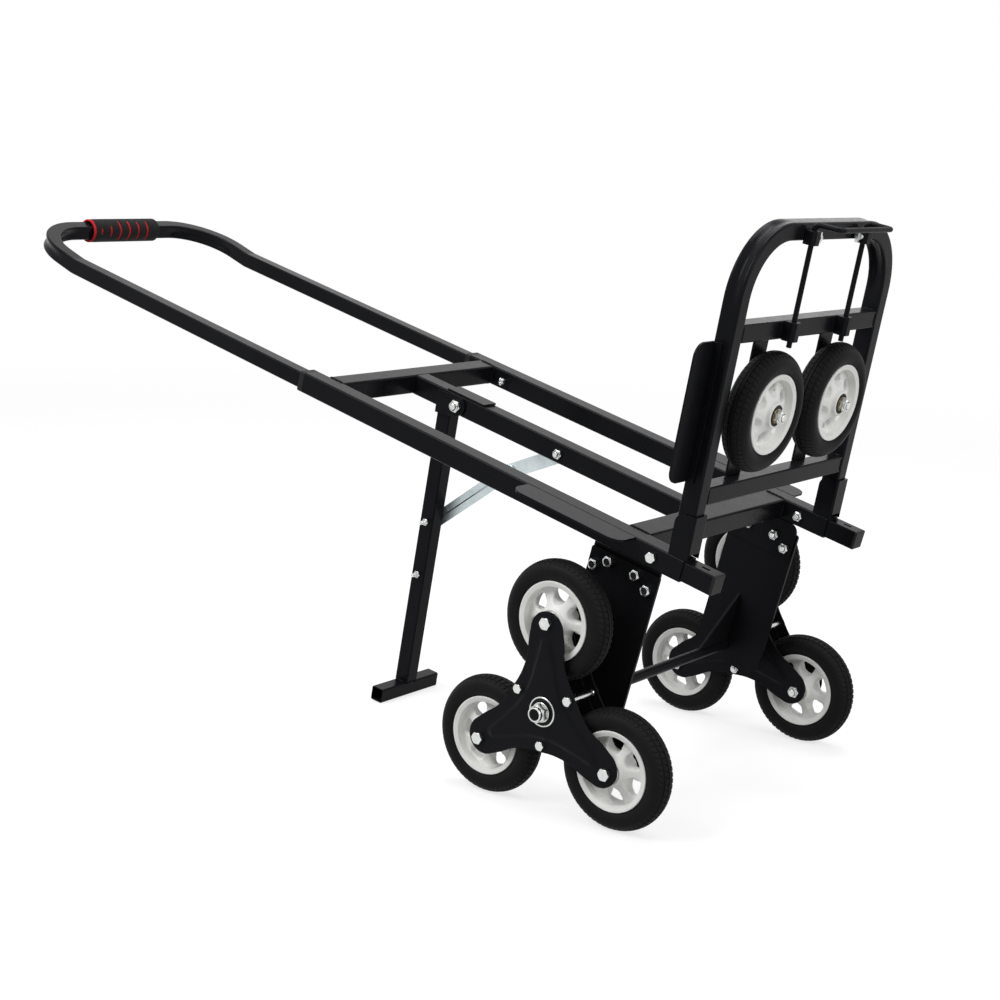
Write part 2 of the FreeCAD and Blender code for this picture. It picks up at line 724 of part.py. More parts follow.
def side_holes():
    low = bracket_plate_inner - 1
    high = side_plate_outer + 1
    holes = [cylinder(axle_diameter / 2, Vector(0, low, 0), Vector(0, high, 0))]
    for x, z in plate_bolt_spots:
        holes.append(cylinder(frame_bolt_diameter / 2 + 0.2, Vector(x, low, z), Vector(x, high, z)))
    return holes


def bracket_plate():
    """Left bracket plate, welded under the rail and bolted to the axle plate."""
    first = side_plate_first
    last = first + side_plate_width - 3
    top = rail_bottom
    bottom = top - bracket_plate_height
    corners = [Vector(first, 0, bottom), Vector(last, 0, bottom), Vector(last, 0, top), Vector(first, 0, top)]
    base = Vector(0, bracket_plate_inner, 0)
    body = plate(corners, base, Vector(0, plate_thickness, 0), (6.0, 6.0, 14.0, 0))
    return body.cut(Part.Compound(side_holes()[1:]))


def axle_gusset():
    """Left triangular gusset between the axle plate and the top of the main axle."""
    foot = axle_diameter / 2
    points = [
        Vector(0, side_plate_inner, foot), Vector(0, side_plate_inner, foot + gusset_height),
        Vector(0, side_plate_inner - gusset_reach, foot),
    ]
    face = Part.Face(Part.makePolygon(points + [points[0]]))
    return face.extrude(Vector(plate_thickness, 0, 0)).translated(Vector(-plate_thickness / 2, 0, 0))


axle_thread = 14.0
hub_washer = 2.5


def main_axle():
    """Main axle with a reduced threaded end beyond each hub bearing."""
    shoulder = hub_sleeve_out
    end = shoulder + hub_washer + bolt_size(axle_thread)[2] + 2.5
    middle = Vector(0, -shoulder, axle_height)
    shaft = cylinder(axle_diameter / 2, middle, Vector(0, shoulder, axle_height))
    for side in (-1, 1):
        tip = cylinder(axle_thread / 2, Vector(0, side * shoulder, axle_height), Vector(0, side * end, axle_height))
        tip_edges = [edge for edge in tip.Edges if abs(abs(edge.BoundBox.YMin) - end) < 0.01
                     and abs(abs(edge.BoundBox.YMax) - end) < 0.01]
        shaft = shaft.fuse(tip.makeChamfer(1.2, tip_edges))
    return shaft.removeSplitter()


def axle_hardware():
    """Spacer, washer and nut on the left half of the main axle."""
    inner_end = hub_sleeve_in - running_gap
    spacer = ring(
        axle_diameter / 2 + 3.5, axle_diameter / 2, Vector(0, side_plate_outer, axle_height),
        Vector(0, inner_end, axle_height))
    first = hub_sleeve_out + running_gap
    washer_end = hub_sleeve_out + hub_washer
    nut_end = washer_end + bolt_size(axle_thread)[2]
    washer = ring(
        axle_thread + 0.5, axle_thread / 2, Vector(0, first, axle_height), Vector(0, washer_end, axle_height))
    flats = bolt_size(axle_thread)[0]
    nut = hexagon(flats, Vector(0, washer_end, axle_height), Vector(0, nut_end, axle_height))
    bore = cylinder(axle_thread / 2, Vector(0, washer_end, axle_height), Vector(0, nut_end, axle_height))
    return [spacer, washer, nut.cut(bore)]


def frame_bolts():
    """Every bolt that stays with the frame, in the frame's axes."""
    paired = []
    for x, z in plate_bolt_spots:
        start = Vector(x, bracket_plate_inner, z)
        paired += bolt(frame_bolt_diameter, start, across, 2 * plate_thickness)
    start = Vector(rail_bolt_at, rail_outer_y, rail_middle)
    paired += bolt(frame_bolt_diameter, start, Vector(0, -1, 0), rail_size)
    solids = mirrored(paired)
    cheek = clevis_inner + sheet_gauge
    start = Vector(leg_pivot_along, -cheek - running_gap, leg_pivot_height)
    solids += bolt(wheel_bolt_diameter, start, across, 2 * (cheek + running_gap))
    start = Vector(brace_rail_at, -middle_rail_width / 2, leg_pivot_height)
    solids += bolt(frame_bolt_diameter, start, across, middle_rail_width / 2 + brace_upper_y + brace_thickness
                   + running_gap)
    spacer_from = Vector(brace_rail_at, middle_rail_width / 2, leg_pivot_height)
    spacer_to = Vector(brace_rail_at, brace_upper_y - running_gap, leg_pivot_height)
    solids.append(ring(frame_bolt_diameter / 2 + 4, frame_bolt_diameter / 2, spacer_from, spacer_to))
    return solids


def frame():
    nodes = {
        "side_rail_left": placed([side_rail()], frame_axes),
        "side_rail_right": placed(mirror_only([side_rail()]), frame_axes),
    }
    nodes["upper_crossbar"] = placed([crossbar(upper_crossbar_at, rail_size)], frame_axes)
    nodes["lower_crossbar"] = placed([crossbar(lower_crossbar_at, lower_crossbar_size)], frame_axes)
    nodes["middle_rail"] = placed([middle_rail()], frame_axes)
    nodes["rail_plates"] = placed(rail_plates(), frame_axes)
    nodes["mouth_collars"] = placed(mirrored([mouth_collar()]), frame_axes)
    nodes["hinge_brackets"] = mirrored([hinge_bracket()] + placed([hinge_pin()], load_axes))
    nodes["stub_tubes"] = placed(mirrored([stub_tube()]), frame_axes)
    nodes["stub_end_caps"] = placed(mirrored([stub_end_cap()]), frame_axes)
    nodes["side_plates"] = placed(mirrored([side_plate()]), frame_axes)
    nodes["bracket_plates"] = placed(mirrored([bracket_plate()]), frame_axes)
    nodes["axle_gussets"] = placed(mirrored([axle_gusset()]), frame_axes)
    nodes["main_axle"] = [main_axle()]
    nodes["axle_hardware"] = mirrored(axle_hardware())
    nodes["frame_bolts"] = placed(frame_bolts(), frame_axes)
    return nodes


# ---- handle -------------------------------------------------------------------------------------------
handle_inner_end = rail_mouth + handle_overlap
handle_travel = (rail_end - stub_insert) - handle_inner_end - 5.0
kink_radius = 60.0
loop_radius = handle_bend - handle_size / 2


def handle_path():
    """Steps of the handle's left leg, from its inner end to the middle of the end bar."""
    set_back = kink_radius * math.tan(math.radians(handle_tilt / 2))
    straight = handle_inner_end - handle_kink_at - set_back
    after = handle_end_reach - handle_bend - set_back
    half_bar = rail_y - loop_radius
    return [
        straight, (kink_radius, handle_tilt, across.negative()), after, (loop_radius, 90, upward), half_bar,
    ]


def handle_tube():
    """Bent square tube: two legs and the end loop, tilted up a little at the kink."""
    start = Placement(Vector(handle_inner_end, rail_y, rail_middle), Rotation(upward, 180))
    outer = swept(rounded_section(handle_size, handle_size, 3.0), start, handle_path())
    bore = handle_size - 2 * handle_wall
    inner = swept(rounded_section(bore, bore, 1.5), start, handle_path())
    half = outer.cut(inner)
    return half.fuse(half.mirror(origin, across)).removeSplitter()


def grip_axes():
    """Axes at the middle of the end bar, x across the trolley."""
    set_out = handle_end_reach - handle_size / 2
    tilt = math.radians(handle_tilt)
    x = handle_kink_at - set_out * math.cos(tilt)
    z = rail_middle + set_out * math.sin(tilt)
    return Placement(Vector(x, 0, z), Rotation(across, handle_tilt))


def handle_grip():
    """Foam grip with rounded ends over the end bar."""
    half = grip_length / 2
    body = cylinder(grip_diameter / 2, Vector(0, -half, 0), Vector(0, half, 0))
    end_edges = [edge for edge in body.Edges if abs(abs(edge.BoundBox.Center.y) - half) < 0.01]
    body = body.makeFillet(3.0, end_edges)
    hole = swept(
        rounded_section(handle_size, handle_size, 3.0),
        Placement(Vector(0, -half - 1, 0), Rotation(upward, 90)), [grip_length + 2])
    return placed([body.cut(hole)], grip_axes())[0]


def lock_screw():
    """Left clamp screw: stud through the rail's inner wall, two-lobed head inboard."""
    wall = rail_outer_y - rail_size
    tip = rail_y - handle_size / 2 - 0.1
    shoulder = wall - running_gap
    at = Vector(lock_screw_at, 0, rail_middle)

    def on_line(y):
        return Vector(at.x, y, at.z)

    stud = cylinder(lock_thread / 2, on_line(shoulder - 8), on_line(tip))
    collar = cylinder(6.0, on_line(shoulder - 6), on_line(shoulder))
    wings = []
    for side in (-1, 1):
        lobe = cylinder(
            5.5, Vector(at.x + 8 * side, shoulder - 8.5, at.z), Vector(at.x + 8 * side, shoulder - 5.0, at.z))
        wings.append(lobe)
    bar = block((at.x - 8, at.x + 8), (shoulder - 8.5, shoulder - 5.0), (at.z - 4, at.z + 4))
    return stud.fuse([collar, bar] + wings).removeSplitter()


def handle():
    left_lock = [lock_screw()]
    return {
        "handle_tube": placed([handle_tube()], frame_axes),
        "handle_grip": placed([handle_grip()], frame_axes),
        "lock_screw_left": placed(left_lock, frame_axes),
        "lock_screw_right": placed(mirror_only(left_lock), frame_axes),
    }


# ---- load frame ---------------------------------------------------------------------------------------
hoop_foot = hinge_height - hoop_tube_depth / 2
bar_middle = -1.0 - crossbar_size / 2
strap_front = bar_middle - crossbar_size / 2 + 0.5 + sheet_gauge
rod_y = hook_spacing / 2
guide_half = 9.0
guide_front = hook_offset + 8.0
guide_rise = 12.5
hook_bend = 8.0
top_guide_rise = 9.0
top_guide_at = load_frame_height - hook_bend - top_guide_rise - running_gap


def toe_hoop():
    """Bent tube of the load frame, its feet rounded about the hinge pins."""
    bend = hoop_bend - hoop_tube_width / 2
    rise = load_frame_height - hoop_bend - hoop_foot
    start = Placement(Vector(hoop_middle, hoop_y, hoop_foot), Rotation(across, -90))
    inward = start.Rotation.inverted().multVec(along)
    steps = [rise, (bend, 90, inward), hoop_y - bend]
    outer = swept(rounded_section(hoop_tube_width, hoop_tube_depth, 3.0), start, steps)
    bore = rounded_section(hoop_tube_width - 3.0, hoop_tube_depth - 3.0, 1.5)
    half = outer.cut(swept(bore, start, steps))
    reach = hoop_tube_width / 2 + 1
    below = block((-hoop_tube_depth - 1, 1), (hoop_y - reach, hoop_y + reach), (hoop_foot - 1, hinge_height))
    below = below.cut(cylinder(hoop_tube_depth / 2, hinge_point(-reach), hinge_point(reach)))
    pin_hole = cylinder(hinge_pin_radius + bearing_fit, hinge_point(-reach), hinge_point(reach))
    half = half.cut(Part.Compound([below, pin_hole]))
    return half.fuse(half.mirror(origin, across)).removeSplitter()


def toe_crossbar(height):
    half = hoop_y - hoop_tube_width / 2
    start = Placement(Vector(bar_middle, -half, height), Rotation(upward, 90))
    return square_tube(crossbar_size, crossbar_size, 1.5, 2.5, start, 2 * half)


def toe_straps():
    """Flat straps between the two crossbars; each carries a spare wheel."""
    low = lower_bar_at + crossbar_size / 2
    high = middle_bar_at - crossbar_size / 2
    y = spare_spacing / 2
    strap = block((strap_front - sheet_gauge, strap_front), (y - strap_width / 2, y + strap_width / 2), (low, high))
    hole = cylinder(wheel_bolt_diameter / 2 + 0.2, Vector(-100, y, spare_height), Vector(0, y, spare_height))
    return mirrored([strap.cut(hole)])


def toe_wing():
    """Left angled plate that widens the load frame: a flange on the hoop's side, a wing in the load plane."""
    base = load_frame_width / 2
    back = -hoop_tube_depth
    corners = [
        Vector(0, 0, 0), Vector(0, toe_wing_reach, 0),
        Vector(0, toe_wing_reach, toe_wing_height), Vector(0, 0, toe_wing_height),
    ]
    wing = plate(corners, Vector(back, base, toe_wing_base), Vector(sheet_gauge, 0, 0), (0, 18.0, 18.0, 0))
    flange = block(
        (back, back + 14), (base, base + sheet_gauge), (toe_wing_base, toe_wing_base + toe_wing_height))
    return wing.fuse(flange).removeSplitter()


def rod_guide(height, rise, back):
    """Left saddle that holds a hook rod in front of a bar."""
    body = block((back, guide_front), (rod_y - guide_half, rod_y + guide_half), (height - rise, height + rise))
    front_edges = []
    for edge in body.Edges:
        box = edge.BoundBox
        if box.XMin > guide_front - 0.01 and box.ZMax - box.ZMin > rise:
            front_edges.append(edge)
    body = body.makeChamfer(4.0, front_edges)
    bore = cylinder(
        hook_diameter / 2 + bearing_fit, Vector(hook_offset, rod_y, height - 20),
        Vector(hook_offset, rod_y, height + 20))
    return body.cut(bore)


def rod_guides():
    top = rod_guide(top_guide_at, top_guide_rise, 0.0)
    thread = cylinder(
        lock_thread / 2 + 0.2, Vector(hook_offset, 0, top_guide_at), Vector(hook_offset, rod_y, top_guide_at))
    top = top.cut(thread)
    low = rod_guide(middle_bar_at, guide_rise, bar_middle + crossbar_size / 2)
    return mirrored([top, low])


def toe_bolts():
    """Left bolt, bearings, spacer of a spare wheel."""
    y = spare_spacing / 2
    hub_back = spare_offset - wheel_hub_width / 2
    hub_front = spare_offset + wheel_hub_width / 2
    strap_back = strap_front - sheet_gauge
    washer = 1.5
    grip = hub_front + washer - strap_back
    head = Vector(strap_back, y, spare_height)
    solids = bolt(wheel_bolt_diameter, head, along, grip, tail=1.5)
    rod_radius = wheel_bolt_diameter / 2
    solids.append(ring(
        rod_radius + 4, rod_radius, Vector(strap_front, y, spare_height), Vector(hub_back, y, spare_height)))
    solids.append(ring(
        rod_radius + 3, rod_radius, Vector(hub_front, y, spare_height),
        Vector(hub_front + washer, y, spare_height)))
    solids += placed(wheel_bearings(), turned(across, 90, Vector(spare_offset, y, spare_height)))
    return mirrored(solids)


def hook_rod():
    """Round rod bent into a hook: two legs in the guides, bent forward and joined by a bar."""
    bend = hook_bend
    low = middle_bar_at - hook_tail
    rise = load_frame_height - bend - low
    start = Placement(Vector(hook_offset, rod_y, low), Rotation(across, -90))
    forward = start.Rotation.inverted().multVec(across)
    inward = hook_reach - hook_offset - 2 * bend
    # after the first bend the rod runs forward, and then turns in to the cross bar
    second = Rotation(forward, 90).inverted().multVec(start.Rotation.inverted().multVec(upward))
    steps = [rise, (bend, 90, forward), inward, (bend, 90, second.negative()), rod_y - bend]
    half = swept(round_section(hook_diameter / 2), start, steps)
    return half.fuse(half.mirror(origin, across)).removeSplitter()


def thumb_screw():
    """Left thumb screw in the top guide, turned from inboard."""
    face = rod_y - guide_half
    tip = rod_y - hook_diameter / 2 - 0.1

    def on_line(y):
        return Vector(hook_offset, y, top_guide_at)

    stud = cylinder(lock_thread / 2, on_line(face - 6), on_line(tip))
    head = cylinder(5.0, on_line(face - 9), on_line(face - 3.5))
    tab = block(
        (hook_offset - 1.5, hook_offset + 1.5), (face - 12, face - 5), (top_guide_at - 7, top_guide_at + 7))
    return stud.fuse([head, tab]).removeSplitter()


def load_frame():
    nodes = {
        "toe_hoop": [toe_hoop()],
        "toe_crossbars": [toe_crossbar(lower_bar_at), toe_crossbar(middle_bar_at)],
        "toe_straps": toe_straps(),
        "toe_wings": mirrored([toe_wing()]),
        "rod_guides": rod_guides(),
        "toe_bolts": toe_bolts(),
        "hook_rod": [hook_rod()],
        "thumb_screw_left": [thumb_screw()],
        "thumb_screw_right": mirror_only([thumb_screw()]),
    }
    for side, name in ((1, "left"), (-1, "right")):
        axes = turned(across, 90, Vector(spare_offset, side * spare_spacing / 2, spare_height))
        nodes["spare_tyre_" + name] = placed([tyre()], axes)
        nodes["spare_rim_" + name] = placed([rim(spare_window_turn)], axes)
    return {name: placed(solids, load_axes) for name, solids in nodes.items()}


# ---- prop leg and brace -------------------------------------------------------------------------------
leg_front = -(rail_size - leg_pivot_drop) - running_gap
leg_back = leg_front - leg_size
leg_middle = (leg_front + leg_back) / 2
clevis_inner = middle_rail_width / 2 + running_gap
foot_front = leg_middle + foot_size / 2
leg_top = -(rail_size - leg_pivot_drop) - 2.3 - sheet_gauge


def leg_length():
    """Pivot to the foot's underside, so that the foot's front edge meets the floor."""
    lean = math.radians(leg_lean)
    return (leg_pivot.z - foot_front * math.sin(lean)) / math.cos(lean)


def clevis_stop():
    """Top of the clevis web: it meets the rail's underside when the leg stands."""
    turn = math.radians(rail_slope - leg_lean)
    under = rail_size - leg_pivot_drop + running_gap
    return (-under - leg_back * math.sin(turn)) / math.cos(turn)


def leg_clevis():
    """Folded bracket: two round-ended ears beside the middle rail, a base on the leg's top and a short web."""
    outer = clevis_inner + sheet_gauge
    ear = clevis_ear_radius
    base = leg_top
    corners = [
        Vector(leg_back, -outer, base), Vector(leg_back, -outer, ear), Vector(0, -outer, ear),
        Vector(ear, -outer, 0), Vector(0, -outer, -ear), Vector(leg_front, -outer, base + sheet_gauge),
        Vector(leg_front, -outer, base),
    ]
    edges = [Part.LineSegment(corners[0], corners[1]).toShape()]
    edges.append(Part.LineSegment(corners[1], corners[2]).toShape())
    edges.append(Part.Arc(corners[2], corners[3], corners[4]).toShape())
    edges.append(Part.LineSegment(corners[4], corners[5]).toShape())
    edges.append(Part.LineSegment(corners[5], corners[6]).toShape())
    edges.append(Part.LineSegment(corners[6], corners[0]).toShape())
    body = Part.Face(Part.Wire(edges)).extrude(Vector(0, 2 * outer, 0))
    web = leg_back + sheet_gauge
    pocket = block((web, ear + 1), (-clevis_inner, clevis_inner), (base + sheet_gauge, ear + 1))
    stop = block((leg_back - 1, web + 1), (-clevis_inner, clevis_inner), (clevis_stop(), ear + 1))
    pivot = cylinder(
        wheel_bolt_diameter / 2 + bearing_fit, Vector(0, -outer - 1, 0), Vector(0, outer + 1, 0))
    return body.cut(pocket).cut(stop).cut(pivot)


def leg_tube():
    length = leg_length() - foot_size + leg_top
    start = Placement(Vector(leg_middle, 0, leg_top), Rotation(across, 90))
    tube = square_tube(leg_size, leg_size, 1.5, 2.5, start, length)
    holes = []
    for drop in leg_screw_at:
        reach = leg_size / 2 + 1
        bore = leg_screw_diameter / 2 + 0.2
        holes.append(cylinder(bore, Vector(leg_middle, -reach, -drop), Vector(leg_middle, reach, -drop)))
    return tube.cut(Part.Compound(holes))


def leg_foot():
    low = -leg_length() + foot_size / 2
    start = Placement(Vector(leg_middle, -foot_length / 2, low), Rotation(upward, 90))
    return square_tube(foot_size, foot_size, 1.5, 2.5, start, foot_length)


def leg_screws():
    """Screws through the leg; the upper one also carries the brace."""
    solids = []
    half = leg_size / 2
    for index, drop in enumerate(leg_screw_at):
        far = brace_lower_y + brace_thickness + running_gap if index == 0 else half
        head = Vector(leg_middle, far, -drop)
        solids += bolt(leg_screw_diameter, head, Vector(0, -1, 0), far + half, tail=8.0)
    upper = -leg_screw_at[0]
    spacer_to = Vector(leg_middle, brace_lower_y - running_gap, upper)
    solids.append(ring(6.5, leg_screw_diameter / 2, Vector(leg_middle, half, upper), spacer_to))
    return solids


brace_lower_y = clevis_inner + running_gap
brace_upper_y = brace_lower_y + brace_thickness + running_gap
rivet_radius = 3.5


def brace_points():
    """Leg bolt, rivet and rail bolt in the frame's axes, with the rivet above the line between the bolts."""
    leg_bolt_world = leg_axes.multVec(Vector(leg_middle, 0, -leg_screw_at[0]))
    leg_bolt = frame_axes.inverse().multVec(leg_bolt_world)
    rail_bolt = Vector(brace_rail_at, 0, leg_pivot_height)
    way = leg_bolt.sub(rail_bolt).normalize()
    side = Vector(way.z, 0, -way.x)
    foot = math.sqrt(brace_upper_length ** 2 - brace_elbow_lift ** 2)
    rivet = rail_bolt.add(way.multiply(foot)).add(side.multiply(brace_elbow_lift))
    return leg_bolt, rivet, rail_bolt


def brace_link(first, second, y, hole, headed):
    """Flat link with round ends, a pivot hole at its first point and its half of the rivet at its second."""
    half = brace_width / 2
    way = Vector(second.sub(first)).normalize()
    side = Vector(-way.z, 0, way.x).multiply(half)
    tip = Vector(way).multiply(half)

    def at(point):
        return Vector(point.x, y, point.z)

    far = second.add(tip)
    near = first.sub(tip)
    edges = [
        Part.LineSegment(at(first.add(side)), at(second.add(side))).toShape(),
        Part.Arc(at(second.add(side)), at(far), at(second.sub(side))).toShape(),
        Part.LineSegment(at(second.sub(side)), at(first.sub(side))).toShape(),
        Part.Arc(at(first.sub(side)), at(near), at(first.add(side))).toShape(),
    ]
    body = Part.Face(Part.Wire(edges)).extrude(Vector(0, brace_thickness, 0))
    body = body.cut(cylinder(hole, at(first), at(first).add(Vector(0, brace_thickness, 0))))
    seat = at(second)
    body = body.cut(cylinder(rivet_radius, seat, seat.add(Vector(0, brace_thickness, 0))))
    shank = cylinder(rivet_radius, seat, seat.add(Vector(0, brace_thickness, 0)))
    if not headed:
        return [body, shank]
    head_start = Vector(second.x, y + brace_thickness, second.z)
    head = cylinder(rivet_radius + 2.5, head_start, head_start.add(Vector(0, 1.8, 0)))
    return [body, shank.fuse(head).removeSplitter()]


def prop_leg():
    leg_bolt, rivet, rail_bolt = brace_points()
    lower = brace_link(leg_bolt, rivet, brace_lower_y, leg_screw_diameter / 2 + bearing_fit, False)
    upper = brace_link(rail_bolt, rivet, brace_upper_y, frame_bolt_diameter / 2 + bearing_fit, True)
    return {
        "leg_clevis": placed([leg_clevis()], leg_axes),
        "leg_tube": placed([leg_tube()], leg_axes),
        "leg_foot": placed([leg_foot()], leg_axes),
        "leg_screws": placed(leg_screws(), leg_axes),
        "brace_lower": placed(lower, frame_axes),
        "brace_upper": placed(upper, frame_axes),
    }


# ---- whole trolley ------------------------------------------------------------------------------------
def whole():
    nodes = {}
    for group in (frame(), handle(), clusters(), load_frame(), prop_leg()):
        nodes.update(group)
    return nodes


def centre_shift(nodes):
    """Move that brings the middle of the overall length over the origin."""
    everything = Part.Compound([solid for solids in nodes.values() for solid in solids])
    box = everything.optimalBoundingBox(False, False)
    return Vector(-(box.XMin + box.XMax) / 2, 0, 0)


model = whole()
shift = centre_shift(model)
os.makedirs("parts", exist_ok=True)
for node_name, node_solids in model.items():
    shape = Part.Compound(node_solids)
    shape.translate(shift)
    shape.exportStep("parts/" + node_name + ".step")
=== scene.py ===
import cmath
import json
import math
import random
from collections import namedtuple

import bmesh
import bpy
import numpy as np
from mathutils import Matrix, Vector


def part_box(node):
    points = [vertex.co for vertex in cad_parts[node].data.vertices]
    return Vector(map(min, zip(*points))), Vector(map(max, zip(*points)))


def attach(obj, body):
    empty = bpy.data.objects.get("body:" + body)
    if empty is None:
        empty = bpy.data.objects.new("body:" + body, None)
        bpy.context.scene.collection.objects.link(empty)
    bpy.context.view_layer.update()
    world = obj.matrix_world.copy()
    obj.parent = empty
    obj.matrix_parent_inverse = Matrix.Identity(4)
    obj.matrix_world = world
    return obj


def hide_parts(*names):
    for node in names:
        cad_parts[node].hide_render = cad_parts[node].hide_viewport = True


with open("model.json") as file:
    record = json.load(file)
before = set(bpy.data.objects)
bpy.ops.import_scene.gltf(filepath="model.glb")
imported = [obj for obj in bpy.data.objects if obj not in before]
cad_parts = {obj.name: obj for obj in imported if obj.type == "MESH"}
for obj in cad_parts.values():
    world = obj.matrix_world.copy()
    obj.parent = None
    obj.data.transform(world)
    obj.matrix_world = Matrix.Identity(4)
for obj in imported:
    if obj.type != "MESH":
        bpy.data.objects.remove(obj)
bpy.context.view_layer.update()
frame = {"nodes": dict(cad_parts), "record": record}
random.seed(7)

SIDES = {"left": 1, "right": -1}
WHEELS = ("top", "rear", "front")
MM = 0.001
ACROSS = Vector((0, 1, 0))
UP = Vector((0, 0, 1))


# --- where things are, from the frame ---

JOINTS = {joint["name"]: joint for joint in frame["record"]["behaviour"]["joints"]}


def joint_at(name):
    return Vector(JOINTS[name]["pos_m"])


def points_of(node):
    """The points of a CAD node's mesh."""
    return [vert.co for vert in frame["nodes"][node].data.vertices]


def middle(node):
    """Centre of a node's box."""
    low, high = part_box(node)
    return (low + high) / 2


def size(node):
    low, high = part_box(node)
    return high - low


def axes(origin, normal, reference):
    """Axes at origin with z along normal and x as near to reference as that allows."""
    z = Vector(normal).normalized()
    x = (Vector(reference) - z * Vector(reference).dot(z)).normalized()
    y = z.cross(x)
    return Matrix.Translation(origin) @ Matrix((x, y, z)).transposed().to_4x4()


def corners_of(points):
    """Lowest and highest corner of the points' box."""
    return tuple(Vector([pick(values) for values in zip(*points)]) for pick in (min, max))


def box_along(node, place, end=math.inf):
    """The box, in the axes of a place, of a node or of so much of its end along z."""
    inverse = place.inverted()
    points = [inverse @ point for point in points_of(node)]
    last = max(point.z for point in points)
    return corners_of([point for point in points if last - point.z < end])


axle = middle("main_axle")
rail_way = -Vector(JOINTS["handle_slide"]["axis"])  # up the rails, towards the handle
load_front = Vector(JOINTS["spare_wheel_left_spin"]["axis"])
load_up = load_front.cross(ACROSS)
leg_down = (middle("leg_foot") - middle("leg_clevis")).normalized()


# --- mesh helpers ---

def flat(radius, turn):
    return radius * math.cos(turn), radius * math.sin(turn)


def polar(radius, turn, height):
    return Vector((*flat(radius, turn), height))


def in_mm(profile):
    return [(radius * MM, height * MM) for radius, height in profile]


def soft_step(value):
    value = min(max(value, 0), 1)
    return value * value * (3 - 2 * value)


def arc(first, through, last, count):
    """Points on the circle through three points of a profile, both ends included."""
    points = [complex(*point) for point in (first, through, last)]
    start, half, _ = points
    ratio = (points[2] - start) / (half - start)
    centre = start + (half - start) * (ratio - abs(ratio) ** 2) / (2j * ratio.imag)
    turns = [cmath.phase(point - centre) for point in points]
    sweep = sum(math.remainder(after - before, math.tau) for before, after in zip(turns, turns[1:]))
    spots = [centre + cmath.rect(abs(start - centre), turns[0] + sweep * step / count) for step in range(count + 1)]
    return [(spot.real, spot.imag) for spot in spots]


def add_object(name, data):
    made = bpy.data.objects.new(name, data)
    bpy.context.scene.collection.objects.link(made)
    return made


class Shape:
    """A mesh under construction, with the names of its materials; each face has the number of one of them."""

    def __init__(self, *materials):
        self.bm = bmesh.new()
        self.materials = materials

    def ring(self, points):
        return [self.bm.verts.new(point) for point in points]

    def bridge(self, first, second, material=0, closed=True):
        """Faces between two rings of the same length; material is a number, or a function of the step."""
        count = len(first)
        for index in range(count if closed else count - 1):
            following = (index + 1) % count
            face = self.bm.faces.new((first[index], first[following], second[following], second[index]))
            face.material_index = material(index) if callable(material) else material

    def finish(self, name, body, sharp, replaces=()):
        """Turns the mesh into a piece that rides on a body, with hard edges beyond an angle in degrees."""
        bmesh.ops.remove_doubles(self.bm, verts=self.bm.verts, dist=1e-7)
        bmesh.ops.recalc_face_normals(self.bm, faces=self.bm.faces)
        limit = math.radians(sharp)
        for edge in self.bm.edges:
            edge.smooth = not (len(edge.link_faces) == 2 and edge.calc_face_angle() > limit)
        for face in self.bm.faces:
            face.smooth = True
        mesh = bpy.data.meshes.new(name)
        self.bm.to_mesh(mesh)
        self.bm.free()
        for material in self.materials:
            mesh.materials.append(MATERIALS[material])
        piece = add_object(name, mesh)
        if replaces:
            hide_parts(*replaces)
        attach(piece, body)
        return piece


# --- material helpers ---

MIX_A, MIX_B, MIX_RESULT = 6, 7, 2  # the colour sockets of a mix node


class Tree:
    """The node tree of a material or of the world, under construction."""

    def __init__(self, owner):
        owner.use_nodes = True
        self.nodes, self.links = owner.node_tree.nodes, owner.node_tree.links
        self.nodes.clear()

    def feed(self, socket, value):
        """Links a socket to another, or writes a number, vector or colour on it."""
        if isinstance(value, bpy.types.NodeSocket):
            self.links.new(value, socket)
        else:
            socket.default_value = (*value, 1) if socket.type == "RGBA" else value

    def add(self, kind, inputs=None, **settings):
        """A new node with its settings and what its inputs are fed."""
        node = self.nodes.new(kind)
        for key, value in settings.items():
            setattr(node, key, value)
        for key, value in (inputs or {}).items():
            self.feed(node.inputs[key], value)
        return node

    def maths(self, operation, first, second):
        return self.add("ShaderNodeMath", {0: first, 1: second}, operation=operation).outputs[0]

    def seen_rays(self):
        """1 for camera, mirror and glass rays, 0 for the rays that light the object."""
        rays = self.add("ShaderNodeLightPath").outputs
        seen = self.maths("MAXIMUM", rays["Is Camera Ray"], rays["Is Glossy Ray"])
        return self.maths("MAXIMUM", seen, rays["Is Transmission Ray"])


class Surface(Tree):
    """A material's tree, with its object coordinates."""

    def __init__(self, name):
        self.material = bpy.data.materials.new(name)
        super().__init__(self.material)
        self.place = self.add("ShaderNodeTexCoord").outputs["Object"]

    def noise(self, scale, detail, roughness, stretch=None):
        """Noise of so many features per metre; stretch multiplies the coordinates along X, Y and Z."""
        place = self.place
        if stretch:
            place = self.add("ShaderNodeMapping", {"Vector": place, "Scale": stretch}).outputs["Vector"]
        values = {"Vector": place, "Scale": scale, "Detail": detail, "Roughness": roughness}
        return self.add("ShaderNodeTexNoise", values).outputs["Fac"]

    def spread(self, source, low, high):
        """Maps the middle of a noise's values onto low to high."""
        values = {"Value": source, "From Min": 0.3, "From Max": 0.7, "To Min": low, "To Max": high}
        return self.add("ShaderNodeMapRange", values).outputs["Result"]

    def blend(self, share, first, second):
        values = {"Factor": share, MIX_A: first, MIX_B: second}
        return self.add("ShaderNodeMix", values, data_type="RGBA").outputs[MIX_RESULT]

    def shade(self, **values):
        """The shader, with an underscore for each space in the names of its inputs."""
        values = {key.replace("_", " "): value for key, value in values.items()}
        return self.add("ShaderNodeBsdfPrincipled", values).outputs["BSDF"]

    def show(self, shader):
        self.add("ShaderNodeOutputMaterial", {"Surface": shader})
        return self.material


